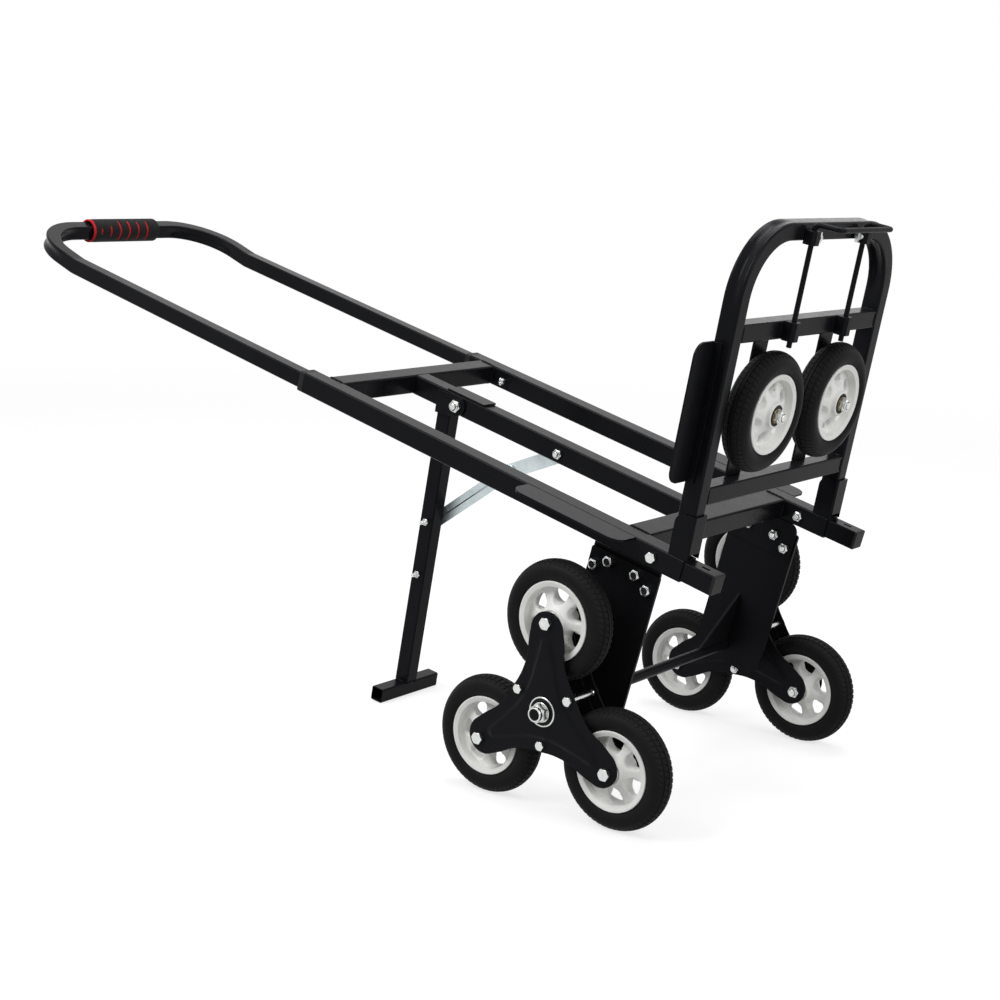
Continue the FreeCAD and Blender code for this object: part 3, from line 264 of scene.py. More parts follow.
def surface(name, kind, low, high, gloss, level=0.5):
    """A material of a kind, with its two tones, the range of its roughness and its specular level.

    A kind has three noises, each (features per metre, detail, roughness): clouds blend the tones, marks vary the
    gloss, and grain makes a bump of the relief's (strength, height). The fixed values are other shader inputs.
    """
    clouds, marks, grain, (strength, height), fixed = kind
    m = Surface(name)
    bump = m.add("ShaderNodeBump", {"Height": m.noise(*grain), "Strength": strength, "Distance": height})
    return m.show(m.shade(Base_Color=m.blend(m.spread(m.noise(*clouds), 0, 1), low, high),
                          Roughness=m.spread(m.noise(*marks), *gloss), Normal=bump.outputs["Normal"],
                          Specular_IOR_Level=level, **fixed))


# kinds of surface, each (clouds, marks, grain, relief, fixed)
# faint dust, handling marks and orange peel; what it mirrors is faintly blue
PAINT = (7, 5, 0.6), (60, 4, 0.7), (900, 2, 0.5), (0.10, 0.0003), {"Specular_Tint": (0.88, 0.885, 1.0)}
# clouds of two tints and fine scratches
PLATING = (90, 3, 0.5), (700, 3, 0.6), (700, 3, 0.6), (0.08, 0.0002), {"Metallic": 1.0}
# the spangle of cold-rolled strip and rub marks along it
RUB = (260, 4, 0.7, (0.25, 1, 1))
STRIP = (45, 4, 0.6), RUB, RUB, (0.10, 0.0002), {"Metallic": 0.85}
# a trace of dust and a fine grain
RUBBER = (25, 5, 0.65), (25, 5, 0.65), (1400, 2, 0.5), (0.15, 0.0003), {}
# slightly mottled
SATIN_PLASTIC = (45, 4, 0.6), (45, 4, 0.6), (1100, 2, 0.5), (0.10, 0.0002), {}
# a fine spark-eroded grain
MOULDED = (30, 4, 0.6), (1500, 3, 0.6), (1500, 3, 0.6), (0.25, 0.0003), {}
# open pores
FOAM = (60, 4, 0.6), (1600, 4, 0.7), (1600, 4, 0.7), (0.5, 0.0004), {}

# each (kind, two tones, roughness, specular level); the first six are named as the record's slots
MATERIALS = {name: surface(name, *look) for name, look in {
    "powder_coat": (PAINT, (0.0046, 0.004738, 0.005612), (0.0070, 0.00721, 0.00826), (0.19, 0.29), 0.06),
    "zinc": (PLATING, (0.56, 0.58, 0.58), (0.68, 0.69, 0.66), (0.16, 0.32)),
    "tyre_rubber": (RUBBER, (0.0042, 0.0043, 0.0048), (0.0078, 0.0078, 0.0085), (0.50, 0.64), 0.08),
    "rim_plastic": (SATIN_PLASTIC, (0.80, 0.80, 0.775), (0.87, 0.87, 0.845), (0.34, 0.46), 0.4),
    "black_plastic": (MOULDED, (0.008, 0.008, 0.0085), (0.013, 0.013, 0.0135), (0.48, 0.62), 0.15),
    "grip_foam": (FOAM, (0.0045, 0.0048, 0.0048), (0.0085, 0.0088, 0.0088), (0.65, 0.85), 0.15),
    # the satin coat is rougher than powder_coat, and its two tones are powder_coat's darkened by about 30 percent,
    # which is painted shade
    "satin_black_painted_shade": (PAINT, (0.0032, 0.003296, 0.003904), (0.0050, 0.00515, 0.0059), (0.37, 0.47), 0.075),
    "brace_strip": (STRIP, (0.50, 0.57, 0.59), (0.66, 0.72, 0.73), (0.34, 0.52)),
    "nylon": (MOULDED, (0.030, 0.032, 0.036), (0.050, 0.052, 0.056), (0.48, 0.62), 0.3),
    "bearing_seal": (MOULDED, (0.010, 0.010, 0.011), (0.018, 0.018, 0.019), (0.48, 0.62), 0.15),
    "yellow_race": (PLATING, (0.36, 0.25, 0.12), (0.52, 0.39, 0.20), (0.22, 0.38)),
    "red_foam": (FOAM, (0.34, 0.006, 0.010), (0.50, 0.012, 0.016), (0.65, 0.85), 0.15),
}.items()}


# --- the CAD nodes that stay ---

# plates and brackets in the satin coat: rougher, and with darker tones that are painted shade; the other painted nodes
# keep the glossier one
SHADED_SATIN_NODES = ("side_plates", "bracket_plates", "axle_gussets", "main_axle", "toe_wings", "hook_rod", "rod_guides")
BRACE_NODES = ("brace_upper", "brace_lower")
OTHER_LOOKS = {**dict.fromkeys(SHADED_SATIN_NODES, "satin_black_painted_shade"), **dict.fromkeys(BRACE_NODES, "brace_strip")}
EDGE_NODES = ("side_plates", "bracket_plates", "axle_gussets", "toe_wings", "rail_plates", "toe_straps", "leg_clevis",
              "hinge_brackets", "mouth_collars", "rod_guides", *BRACE_NODES)
EDGE_WIDTH = 0.5 * MM
EDGE_ANGLE = 40  # degrees


def soften(node):
    """Breaks a node's sharp edges."""
    weld = node.modifiers.new("weld", "WELD")
    weld.merge_threshold = 1e-6
    bevel = node.modifiers.new("edge", "BEVEL")
    bevel.width = EDGE_WIDTH
    bevel.segments = 2
    bevel.limit_method = "ANGLE"
    bevel.angle_limit = math.radians(EDGE_ANGLE)


for entry in frame["record"]["subparts"]:
    node = frame["nodes"][entry["node"]]
    node.data.materials.clear()
    node.data.materials.append(MATERIALS[OTHER_LOOKS.get(node.name, entry["material_slot"])])
    if node.name in EDGE_NODES:
        soften(node)


# --- tyres ---

TREAD_BLOCKS = 60
TREAD_DEPTH = 1.4 * MM
TREAD_SKEW = 0.5  # of a block, from the crown to the shoulder
# shares of the way from the crown to the shoulder: the grooves round the tyre, the mesh's rows, the cross grooves
TREAD_GROOVES = ((0.10, 0.16), (0.52, 0.60))
TREAD_ROWS = (0.0, 0.09, 0.105, 0.155, 0.17, 0.34, 0.505, 0.525, 0.595, 0.615, 0.80, 0.93, 1.0)
CROSS_START, CROSS_END = 0.15, 0.9
CROSS_DEPTH = 0.8  # of the depth
BLOCK_MARKS = (0.0, 0.14, 0.24, 0.90)  # groove up to the second, slope up to the third, slope down from the last
CROWN_STEPS = 200  # points on the arc from the crown to the shoulder, some of which are the rows
SHOULDER_DROP, SHOULDER_IN = 8 * MM, 2.4 * MM  # below the crown, and in from the tyre's side
# where the side wall ends and the bed that sits in the rim, as (radius from the bead's, in from the side) in mm
WALL_END, BED = (0.6, 3.6), ((-0.2, 4.2), (-5, 5.3))


def tyre_profile():
    """Half of the tyre's section from the crown's middle to the bed, as (radius, height, share of the tread)."""
    _, half, wheel = size("tyre_top_left") / 2
    bead = size("rim_top_left").z / 2
    shoulder = (wheel - SHOULDER_DROP, half - SHOULDER_IN)
    tread = arc((shoulder[0], -shoulder[1]), (wheel, 0), shoulder, 2 * CROWN_STEPS)[CROWN_STEPS:]
    crown = [(*tread[round(share * CROWN_STEPS)], share) for share in TREAD_ROWS]
    end, *bed = [(bead + out * MM, half - inward * MM) for out, inward in (WALL_END, *BED)]
    wall = arc(shoulder, ((bead + shoulder[0]) / 2, half), end, 10)[1:] + bed
    return crown + [(radius, height, None) for radius, height in wall]


def tread_cut(share, in_groove):
    if share is None:
        return 0.0
    if any(low <= share <= high for low, high in TREAD_GROOVES):
        return TREAD_DEPTH
    return TREAD_DEPTH * CROSS_DEPTH if in_groove and CROSS_START < share < CROSS_END else 0.0


def tyre(name, place, body):
    shape = Shape("tyre_rubber")
    half = tyre_profile()
    rows = [(radius, -height, share) for radius, height, share in reversed(half[1:])] + half
    turns = [(block + mark) / TREAD_BLOCKS * math.tau for block in range(TREAD_BLOCKS) for mark in BLOCK_MARKS]
    rings = []
    for radius, height, share in rows:
        skew = math.copysign(TREAD_SKEW * (1 if share is None else share), height) * math.tau / TREAD_BLOCKS
        cuts = [tread_cut(share, index % len(BLOCK_MARKS) < 2) for index in range(len(turns))]
        rings.append(shape.ring([place @ polar(radius - cut, turn + skew, height) for cut, turn in zip(cuts, turns)]))
    for low, high in zip(rings, rings[1:] + rings[:1]):
        shape.bridge(low, high)
    shape.finish(name + "_tread", body, 40, (name,))


def spare_place(side):
    """Axes at the middle of a spare wheel, z along its axle."""
    levels = [point.dot(load_front) for point in points_of(f"spare_tyre_{side}")]
    centre = joint_at(f"spare_wheel_{side}_spin")
    level = (min(levels) + max(levels)) / 2
    return axes(centre + load_front * (level - centre.dot(load_front)), load_front, UP)


for side in SIDES:
    for wheel in WHEELS:
        tyre(f"tyre_{wheel}_{side}", axes(middle(f"tyre_{wheel}_{side}"), ACROSS, UP), f"wheel_{wheel}_{side}")
    tyre(f"spare_tyre_{side}", spare_place(side), f"spare_wheel_{side}")


# --- rims ---

WINDOWS = 6
WINDOW_TURN = math.radians(17.0)  # half angle of a window
WINDOW_MIDDLE, WINDOW_HALF = 33.4 * MM, 10.0 * MM
WINDOW_POWER = 2.5  # how square its corners are
WINDOW_ROUND = 2.6 * MM  # width of the rounded edge around it
WINDOW_THIN = 0.34  # share of the web's thickness left at that edge
WEB_ROOT, WEB_EDGE = 14.5 * MM, 4.5 * MM
WEB_CURVE = 1.7
DRUM_INSET = 8 * MM  # from the tyre's bead in to the web's outer end
# half sections, (radius, height) in mm: the hub from its bearing seat out, and the lip from the web's end to the
# tyre's bed, with radii from the bead's
HUB_PROFILE = ((8, 11), (14.05, 11), (14.05, 19.6), (14.4, 20), (16.4, 20), (17.0, 19.4), (17.4, 15.3))
LIP_PROFILE = ((-7.9, 6.5), (-7.5, 13.9), (-7.0, 15.3), (-3.2, 16.2), (-2.6, 16.5), (-0.5, 16.5), (0, 16.0),
               (0, 14.5), (-5, 13.0))
WEB_START = HUB_PROFILE[-1][0] * MM


def window_edge(turn):
    """Radii where a window starts and ends at an angle from its middle."""
    share = max(1 - abs(turn / WINDOW_TURN) ** WINDOW_POWER, 0) ** (1 / WINDOW_POWER)
    return WINDOW_MIDDLE - WINDOW_HALF * share, WINDOW_MIDDLE + WINDOW_HALF * share


def rim_sector(bead):
    """The columns over one window and one spoke, as (angle, hub to window, window to bed), and how many are open."""
    drum = bead - DRUM_INSET
    outline = np.array([flat(radius, turn) for turn in np.linspace(-WINDOW_TURN, WINDOW_TURN, 181)
                        for radius in window_edge(turn)])

    def web(radius, turn):
        """A point of the conical web, which sinks towards a window's edge."""
        rise = max((drum - radius) / (drum - WEB_START), 0)
        height = WEB_EDGE + (WEB_ROOT - WEB_EDGE) * rise ** WEB_CURVE
        gap = np.hypot(*(outline - flat(radius, turn)).T).min()
        return radius, height * (WINDOW_THIN + (1 - WINDOW_THIN) * math.sqrt(soft_step(gap / WINDOW_ROUND)))

    spoke = math.tau / WINDOWS - 2 * WINDOW_TURN
    open_turns = [WINDOW_TURN * math.sin(t) for t in np.linspace(-math.pi / 2, math.pi / 2, 23)]
    solid = [WINDOW_TURN + spoke * (1 - math.cos(t)) / 2 for t in np.linspace(0, math.pi, 11)[1:-1]]
    start = WEB_START + 0.6 * MM
    columns = []
    for turn in open_turns + solid:
        inner, outer = window_edge(turn) if turn in open_turns else (WINDOW_MIDDLE, WINDOW_MIDDLE)
        folded = min(turn, math.tau / WINDOWS - turn) if turn > WINDOW_TURN else turn
        near = in_mm(HUB_PROFILE)
        near += [web(start + (inner - start) * math.sin(t), folded) for t in np.linspace(0, math.pi / 2, 13)]
        far = [web(outer + (drum - outer) * (1 - math.cos(t)), folded) for t in np.linspace(0, math.pi / 2, 9)]
        far += [(bead + radius * MM, height * MM) for radius, height in LIP_PROFILE]
        columns.append((turn, near, far))
    return columns, len(open_turns)


def window_phase(node, place):
    """Angle, about z of a place, that a CAD rim's windows are turned by, from its points between hub and drum."""
    inverse = place.inverted()
    lean = 0
    for point in points_of(node):
        spot = complex(*(inverse @ point).xy)
        if 26 * MM < abs(spot) < 40 * MM:
            lean += (spot / abs(spot)) ** WINDOWS
    return cmath.phase(lean) / WINDOWS


def rim(node, place, body, sector):
    """One-piece plastic rim with a dished web and rounded windows, turned as its CAD node is."""
    columns, open_count = sector
    phase = window_phase(node, place)
    shape = Shape("rim_plastic")
    strips = []
    for window in range(WINDOWS):
        for index, (turn, near, far) in enumerate(columns):
            angle = phase + math.tau / WINDOWS * window + turn
            rings = [shape.ring([place @ polar(radius, angle, side * height) for radius, height in rows])
                     for side in (1, -1) for rows in (near, far)]
            strips.append((index < open_count - 1, rings))
    for (is_open, first), (_, second) in zip(strips, strips[1:] + strips[:1]):
        for one, two in zip(first, second):
            shape.bridge(one, two, closed=False)
        # the bore and the bed close the front to the back, and so do a window's two edges
        ends = [(0, 0), (1, -1)] + ([(0, -1), (1, 0)] if is_open else [])
        for rows, end in ends:
            shape.bridge(*([strip[rows][end], strip[rows + 2][end]] for strip in (first, second)), closed=False)
    shape.finish(node + "_moulding", body, 38, (node,))


sector = rim_sector(size("rim_top_left").z / 2)
for side in SIDES:
    for wheel in WHEELS:
        node = f"rim_{wheel}_{side}"
        rim(node, axes(middle(node), ACROSS, UP), f"wheel_{wheel}_{side}", sector)
    rim(f"spare_rim_{side}", spare_place(side), f"spare_wheel_{side}", sector)


# --- spider plates ---

SPIDER_GAUGE = 2.5 * MM
SPIDER_ROUND = 0.7 * MM  # of its cut edge
SPIDER_RELIEF = 2.2 * MM
PANEL_STEP = 6.4 * MM  # width of the soft step up to the panel, of which
PANEL_APRON = 1.4 * MM  # so much lies outside its edge
SPACER_RADIUS = 45.6 * MM
HUB_HOLE = 20 * MM
cluster_radius = (joint_at("wheel_top_left_spin") - joint_at("cluster_left_spin")).length


def half_arm(tip, reach, low, flank, corner):
    """An arm's edge, as (angle, radius) pairs, from its tip to the corner between two arms.

    The tip is an arc of that radius about a point at reach, low and flank lie on the edge, and corner is a radius.
    """
    edge = [(reach + tip * math.cos(turn), tip * math.sin(turn)) for turn in np.linspace(0, math.pi / 2, 14)]
    edge.append(low)
    edge += arc(low, flank, flat(corner, math.pi / 3), 16)[1:]
    return [(math.atan2(y, x), math.hypot(x, y)) for x, y in edge]


SPIDER_EDGE = half_arm(25.3 * MM, cluster_radius - 10 * MM, (cluster_radius * 0.65, 28.3 * MM),
                       (cluster_radius * 0.39, 37.2 * MM), SPACER_RADIUS + 9.5 * MM)
PANEL_EDGE = half_arm(9.5 * MM, cluster_radius * 0.756, (cluster_radius * 0.47, 18.0 * MM),
                      (cluster_radius * 0.31, 23.5 * MM), SPACER_RADIUS - 8.5 * MM)


def limit_at(edge, turn):
    return np.interp(turn, *np.array(edge).T)


def spider_height(radius, turn):
    """Height of the raised Y panel at a point: a soft step inside its edge."""
    ends = np.array([flat(limit, angle) for angle, limit in PANEL_EDGE])
    from_start, way = flat(radius, turn) - ends[:-1], ends[1:] - ends[:-1]
    share = np.clip((from_start * way).sum(1) / (way ** 2).sum(1), 0, 1)
    gap = np.hypot(*(from_start - share[:, None] * way).T).min()
    inside = gap if radius < limit_at(PANEL_EDGE, turn) else -gap
    return SPIDER_RELIEF * soft_step((inside + PANEL_APRON) / PANEL_STEP)


def spider_rows():
    """One sixth of the plate: for each direction, its limit and its points out from the hub hole with heights."""
    rows = []
    for turn in np.radians(np.linspace(0, 60, 73)):
        limit = limit_at(SPIDER_EDGE, turn)
        radii = [HUB_HOLE + (limit - SPIDER_ROUND - HUB_HOLE) * share for share in np.linspace(0, 1, 40)]
        rows.append((turn, limit, [(radius, spider_height(radius, turn)) for radius in radii]))
    return rows


def spider(name, place, body, rows):
    """Pressed plate: front and back follow the same height, with a rounded rim between them."""
    # the satin coat's darker tones are painted shade
    shape = Shape("satin_black_painted_shade")
    third = math.tau / 3
    columns = []
    for arm in range(3):
        half = [(third * arm + turn, limit, row) for turn, limit, row in rows[:-1]]
        half += [(third * (arm + 1) - turn, limit, row) for turn, limit, row in reversed(rows[1:])]
        for turn, limit, row in half:
            column = [(radius, SPIDER_GAUGE + height) for radius, height in row]
            column += [(limit - 0.2 * MM, SPIDER_GAUGE - 0.2 * MM), (limit, SPIDER_GAUGE - SPIDER_ROUND)]
            column += [(limit, 0.6 * MM), (limit - 0.2 * MM, 0.2 * MM), *reversed(row)]
            columns.append(shape.ring([place @ polar(radius, turn, height) for radius, height in column]))
    for first, second in zip(columns, columns[1:] + columns[:1]):
        shape.bridge(first, second)
    shape.finish(name + "_pressing", body, 50, (name,))


sixth = spider_rows()
for side, sign in SIDES.items():
    for layer, outward in (("outer", sign), ("inner", -sign)):
        low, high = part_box(f"spider_{layer}_{side}")
        wheel_side = low.y if outward > 0 else high.y
        place = axes(Vector((axle.x, wheel_side, axle.z)), (0, outward, 0), UP)
        spider(f"spider_{layer}_{side}", place, f"cluster_{side}", sixth)


# --- bolts, nuts, washers and bearings ---

ZINC, YELLOW, DARK, WHITE = range(4)  # a fastener's materials: plating, bearing race, seal or black end, nylon
STEPS = 48
CORNER_TO_FLATS = math.sqrt(3)  # from a corner's radius to the width across flats
SAME_RADIUS = 0.06 * MM
TOP_DROP, FOOT_DROP = 0.62, -0.5  # slopes of a hexagon's chamfers at its top and foot
FACE_SHARE = 0.49  # radius of a washer face, of the flats
WASHER_FACE, DISH = 0.5 * MM, 0.15 * MM
THREAD_PITCH, THREAD_ROOT = 0.33, 0.88  # of the shank's radius
COLLAR, FLUSH_COLLAR, HUB_COLLAR = 0.34, 0.16, 0.42  # a lock nut's collar, of its height
FLUSH_TAIL = 0.2 * MM  # of a bolt's end beyond its nut
THREAD_START = 5 * MM  # before the nut
BEARING_WIDTH, BEARING_OUTER = 9 * MM, 12 * MM  # a section this wide, and larger than this, is a bearing
HUB_BEARING_OUTER, HUB_BEARING_SUNK = 15 * MM, 1.8 * MM
AXLE_WASHER_WIDTH, AXLE_WASHER_SLIM = 4 * MM, 1.2 * MM  # the washers on the main axle are drawn slimmer


def islands(node):
    """The separate solids of a CAD node, each as a list of its points."""
    mesh = bmesh.new()
    mesh.from_mesh(frame["nodes"][node].data)
    bmesh.ops.remove_doubles(mesh, verts=mesh.verts, dist=1e-6)
    groups = []
    seen = set()
    for first in mesh.verts:
        if first in seen:
            continue
        seen.add(first)
        group, queue = [], [first]
        while queue:
            vert = queue.pop()
            group.append(vert.co.copy())
            for edge in vert.link_edges:
                other = edge.other_vert(vert)
                if other not in seen:
                    seen.add(other)
                    queue.append(other)
        groups.append(group)
    mesh.free()
    return groups


# a stretch of a bolt-like solid along an axis
Section = namedtuple("Section", "low high length outer bore hexagonal")


class Solid:
    """A solid of a bolt node, read as sections along an axis."""

    def __init__(self, points, axis):
        levels = {}
        across = [point - axis * point.dot(axis) for point in points]
        low, high = corners_of(across)
        self.centre = (low + high) / 2
        self.axis = axis
        for point, spot in zip(points, across):
            levels.setdefault(round(point.dot(axis), 5), []).append((spot - self.centre).length)
        self.sections = []
        heights = sorted(levels)
        for low, high in zip(heights, heights[1:]):
            shared = [r for r in levels[low] if min(abs(r - other) for other in levels[high]) < SAME_RADIUS]
            outer, bore = max(shared), min(shared)
            count = min(sum(abs(r - outer) < SAME_RADIUS for r in levels[level]) for level in (low, high))
            bore = bore if bore < outer - 0.5 * MM else 0.0
            self.sections.append(Section(low, high, high - low, outer, bore, count <= 6))
        self.corner = max(across, key=lambda p: (p - self.centre).length) - self.centre
        self.head = next((s for s in self.sections if s.hexagonal and not s.bore), None)

    def place(self, level, way=1):
        return axes(self.centre + self.axis * level, self.axis * way, self.corner)

    def meets(self, other):
        return (self.centre - other.centre).length < 1 * MM


def lathe(shape, place, profile, closed=False):
    """Turns a profile about z; each row is (material of the stretch after it, radius, height).

    A row with a drop as well is a hexagon of that inner radius, which sinks by the drop towards its corners.
    """
    rings = []
    for _, radius, height, *drop in profile:
        points = []
        for step in range(STEPS):
            turn = math.tau * step / STEPS
            bulge = radius * (1 / math.cos(turn % (math.pi / 3) - math.pi / 6) - 1) if drop else 0
            points.append(place @ polar(radius + bulge, turn, height - bulge * sum(drop)))
        rings.append(shape.ring(points))
    for index in range(len(rings) if closed else len(rings) - 1):
        shape.bridge(rings[index], rings[(index + 1) % len(rings)], profile[index][0])


def coated(material, *rows):
    return [(material, *row) for row in rows]


def lathe_ring(shape, place, side, inside):
    """Turns a ring from the upper half of its profile and the material of the stretch that joins both halves inside."""
    materials = [row[0] for row in reversed(side[:-1])] + [inside]
    back = [(material, radius, -height) for material, (_, radius, height) in zip(materials, reversed(side))]
    lathe(shape, place, side + back, closed=True)


def bolt(shape, place, flats, head, shank, plain, reach, end):
    """Chamfered hexagon head above z = 0, and a shank down from it, whose end beyond its plain part is threaded."""
    inner, face = flats / 2, flats * FACE_SHARE
    profile = coated(ZINC, (0, head - DISH), (flats * 0.36, head - DISH), (flats * 0.40, head), (inner, head),
                     (inner, head, TOP_DROP), (inner, WASHER_FACE, FOOT_DROP), (face, WASHER_FACE), (face, 0),
                     (shank, 0))
    profile += coated(end, (shank, -plain))
    pitch = shank * THREAD_PITCH
    height = -plain
    while height - pitch > 0.8 * MM - reach:
        profile += coated(end, (shank * THREAD_ROOT, height - pitch / 2), (shank, height - pitch))
        height -= pitch
    profile += coated(end, (shank * 0.97, 0.7 * MM - reach), (shank * 0.78, -reach), (0, -reach))
    lathe(shape, place, profile)


def lock_nut(shape, place, flats, height, bore, collar):
    """Nut with a round collar rolled over a nylon ring, standing on z = 0."""
    body, inner, crown = height * (1 - collar), flats / 2, flats * 0.46
    profile = coated(ZINC, (bore, 0), (inner, 0), (inner, 0, FOOT_DROP), (inner, body, TOP_DROP),
                     (flats * FACE_SHARE, body), (crown, body + 0.2 * MM), (crown, height - 1.0 * MM),
                     (crown - 0.4 * MM, height - 0.3 * MM), (crown - 1.2 * MM, height))
    profile += coated(WHITE, (bore + 0.9 * MM, height - 0.2 * MM), (bore + 0.7 * MM, height - 0.8 * MM))
    profile += coated(ZINC, (bore, height - 1.0 * MM))
    lathe(shape, place, profile, closed=True)


def plain_ring(shape, place, bore, outer, width):
    edge = min(0.4 * MM, width / 4)
    half = width / 2
    side = coated(ZINC, (bore, half), (outer - edge, half), (outer, half - edge))
    lathe_ring(shape, place, side, ZINC)


def bearing(shape, place, bore, outer, width, race):
    """A sealed ball bearing: outer and inner race with a seal set back between them on both sides."""
    half = width / 2
    lip, inner = outer - 2.2 * MM, outer - 4.6 * MM
    side = coated(race, (bore, half - 0.4 * MM), (bore + 0.4 * MM, half), (inner, half))
    side += coated(DARK, (inner, half - 0.7 * MM))
    side += coated(DARK if race else ZINC, (lip, half - 0.7 * MM), (lip, half), (outer - 0.5 * MM, half),
                   (outer, half - 0.5 * MM))
    lathe_ring(shape, place, side, race)


def hub_sleeve(shape, place, section):
    """The hub's tube with a bright turned lip at each end, bored out in front of the bearing."""
    half = section.length / 2
    outer, lip = section.outer, section.outer - 2.0 * MM
    side = coated(DARK, (section.bore, half - 2.0 * MM))
    side += coated(ZINC, (lip, half - 1.6 * MM), (lip, half - 0.4 * MM), (lip + 0.4 * MM, half),
                   (outer - 0.5 * MM, half), (outer, half - 0.5 * MM))
    lathe_ring(shape, place, side, ZINC)


def fit_bolt(shape, solid, solids, flip, black_beyond, slim):
    """Makes a bolt with its nut, and returns the nut's section."""
    axis, head = solid.axis, solid.head
    shank = next(s for s in solid.sections if s is not head)
    out = 1 if head.low >= shank.high - 1e-6 else -1
    seat, tip = (head.low, shank.low) if out > 0 else (head.high, shank.high)
    nuts = [s for other in solids if other.meets(solid) for s in other.sections if s.hexagonal and s.bore]
    nut = next(s for s in nuts if shank.low - 1e-5 < s.low and s.high < shank.high + 1e-5)
    nut_seat = nut.high if out > 0 else nut.low
    tail = abs(tip - nut_seat) - nut.length
    flush = abs(tip) > abs(seat) > black_beyond
    flipped = any((solid.centre - (spot - axis * spot.dot(axis))).length < 5 * MM for spot in flip)
    if flipped or flush and tip > 0:
        seat, nut_seat, out, flush = nut_seat, seat, -out, False
    span = abs(nut_seat - seat)
    reach = span + nut.length + (FLUSH_TAIL if flush else tail)
    flats = head.outer * CORNER_TO_FLATS * slim
    plain = max(span - THREAD_START, 1 * MM)
    bolt(shape, solid.place(seat, out), flats, head.length, shank.outer, plain, reach, DARK if flush else ZINC)
    lock_nut(shape, solid.place(nut_seat, -out), flats, nut.length, shank.outer * 0.99,
             FLUSH_COLLAR if flush else COLLAR)
    return nut


def fit_section(shape, solid, section, nut_to, race):
    """Makes what a section is: a lone nut, the hub's sleeve, a bearing, or a spacer or washer."""
    centre = solid.place((section.low + section.high) / 2)
    if section.hexagonal:
        way = 1 if section.low > 0 else -1
        seat = section.low if way > 0 else section.high
        height = abs(nut_to) - abs(seat) if nut_to else section.length
        lock_nut(shape, solid.place(seat, way), section.outer * CORNER_TO_FLATS, height, section.bore, HUB_COLLAR)
    elif section.outer > HUB_HOLE - 1 * MM:
        hub_sleeve(shape, centre, section)
    elif abs(section.length - BEARING_WIDTH) < 0.1 * MM and section.outer > BEARING_OUTER:
        in_hub = section.outer > HUB_BEARING_OUTER
        width = section.length - (2 * HUB_BEARING_SUNK if in_hub else 0)
        bearing(shape, centre, section.bore, section.outer, width, DARK if in_hub else race)
    else:
        slimmer = AXLE_WASHER_SLIM if nut_to and section.length < AXLE_WASHER_WIDTH else 0
        plain_ring(shape, centre, section.bore, section.outer - slimmer, section.length)


def fasteners(node, body, axis=ACROSS, nut_to=None, flip=(), race=ZINC, black_beyond=math.inf, slim=1.0):
    """Replaces a node of bolts, nuts, spacers and bearings by detailed ones in the same places.

    A bolt within reach of a point in flip is turned end for end, and a lone nut ends at the level nut_to.
    Bolts further out than black_beyond end black and flush in their nuts on the near side, and are turned on the
    far side. Slim scales the width of the bolts' heads and nuts.
    """
    axis = Vector(axis).normalized()
    shape = Shape("zinc", "yellow_race", "bearing_seal", "nylon")
    solids = [Solid(points, axis) for points in islands(node)]
    nuts = [fit_bolt(shape, solid, solids, flip, black_beyond, slim) for solid in solids if solid.head]
    rest = [(solid, section) for solid in solids if not solid.head for section in solid.sections]
    for solid, section in rest:
        if not any(section is nut for nut in nuts):
            fit_section(shape, solid, section, nut_to, race)
    shape.finish(node + "_set", body, 30, (node,))


middle_bolts = (joint_at("leg_fold"), joint_at("brace_upper_swing"))
axle_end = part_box("main_axle")[1].y
fasteners("frame_bolts", "chassis", flip=middle_bolts, black_beyond=150 * MM)
fasteners("leg_screws", "leg")
fasteners("toe_bolts", "load_frame", axis=load_front, race=YELLOW)
fasteners("axle_hardware", "chassis", nut_to=axle_end + 0.2 * MM)
for side in SIDES:
    fasteners(f"cluster_bolts_{side}", f"cluster_{side}", slim=0.88)
    fasteners(f"cluster_hub_{side}", f"cluster_{side}")


# --- lock screws ---

# profiles of (radius, height) in mm
SCREW_PROFILE = ((0, -11.5), (2.7, -11.5), (2.9, -11.0), (2.9, -2.0), (4.6, -2.0), (4.9, -1.6), (4.4, 2.4),
                 (3.2, 3.4), (0, 3.6))
EAR_PROFILE = ((0, -1.5), (2.0, -1.5), (2.7, -1.1), (3.0, -0.4), (3.0, 0.4), (2.7, 1.1), (2.0, 1.5), (0, 1.5))
EAR_STRETCH = 1.1


def wing_screw(name, body):
    """Small wing screw through the rail's inner wall, its two ears one above the other."""
    low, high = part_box(name)
    way = 1 if low.y > 0 else -1
    wall = max(abs(low.y), abs(high.y))
    centre = middle(name)
    place = axes(Vector((centre.x, way * (wall - 12 * MM), centre.z)), (0, -way, 0), UP)
    shape = Shape("zinc")
    lathe(shape, place, coated(ZINC, *in_mm(SCREW_PROFILE)))
    for side in (-1, 1):
        ear = place @ Matrix.Translation((side * 3.0 * MM, 0, 2.6 * MM)) @ Matrix.Rotation(math.pi / 2, 4, "X")
        ear = ear @ Matrix.Diagonal((1.0, EAR_STRETCH, 1.0, 1.0))
        lathe(shape, ear, coated(ZINC, *in_mm(EAR_PROFILE)))
    shape.finish(name + "_wing", body, 40, (name,))


for side in SIDES:
    wing_screw(f"lock_screw_{side}", f"lock_{side}")


# --- grip ---

GRIP_STEPS = 96
FAR_ROUND = 4 * MM  # rounding of the far end
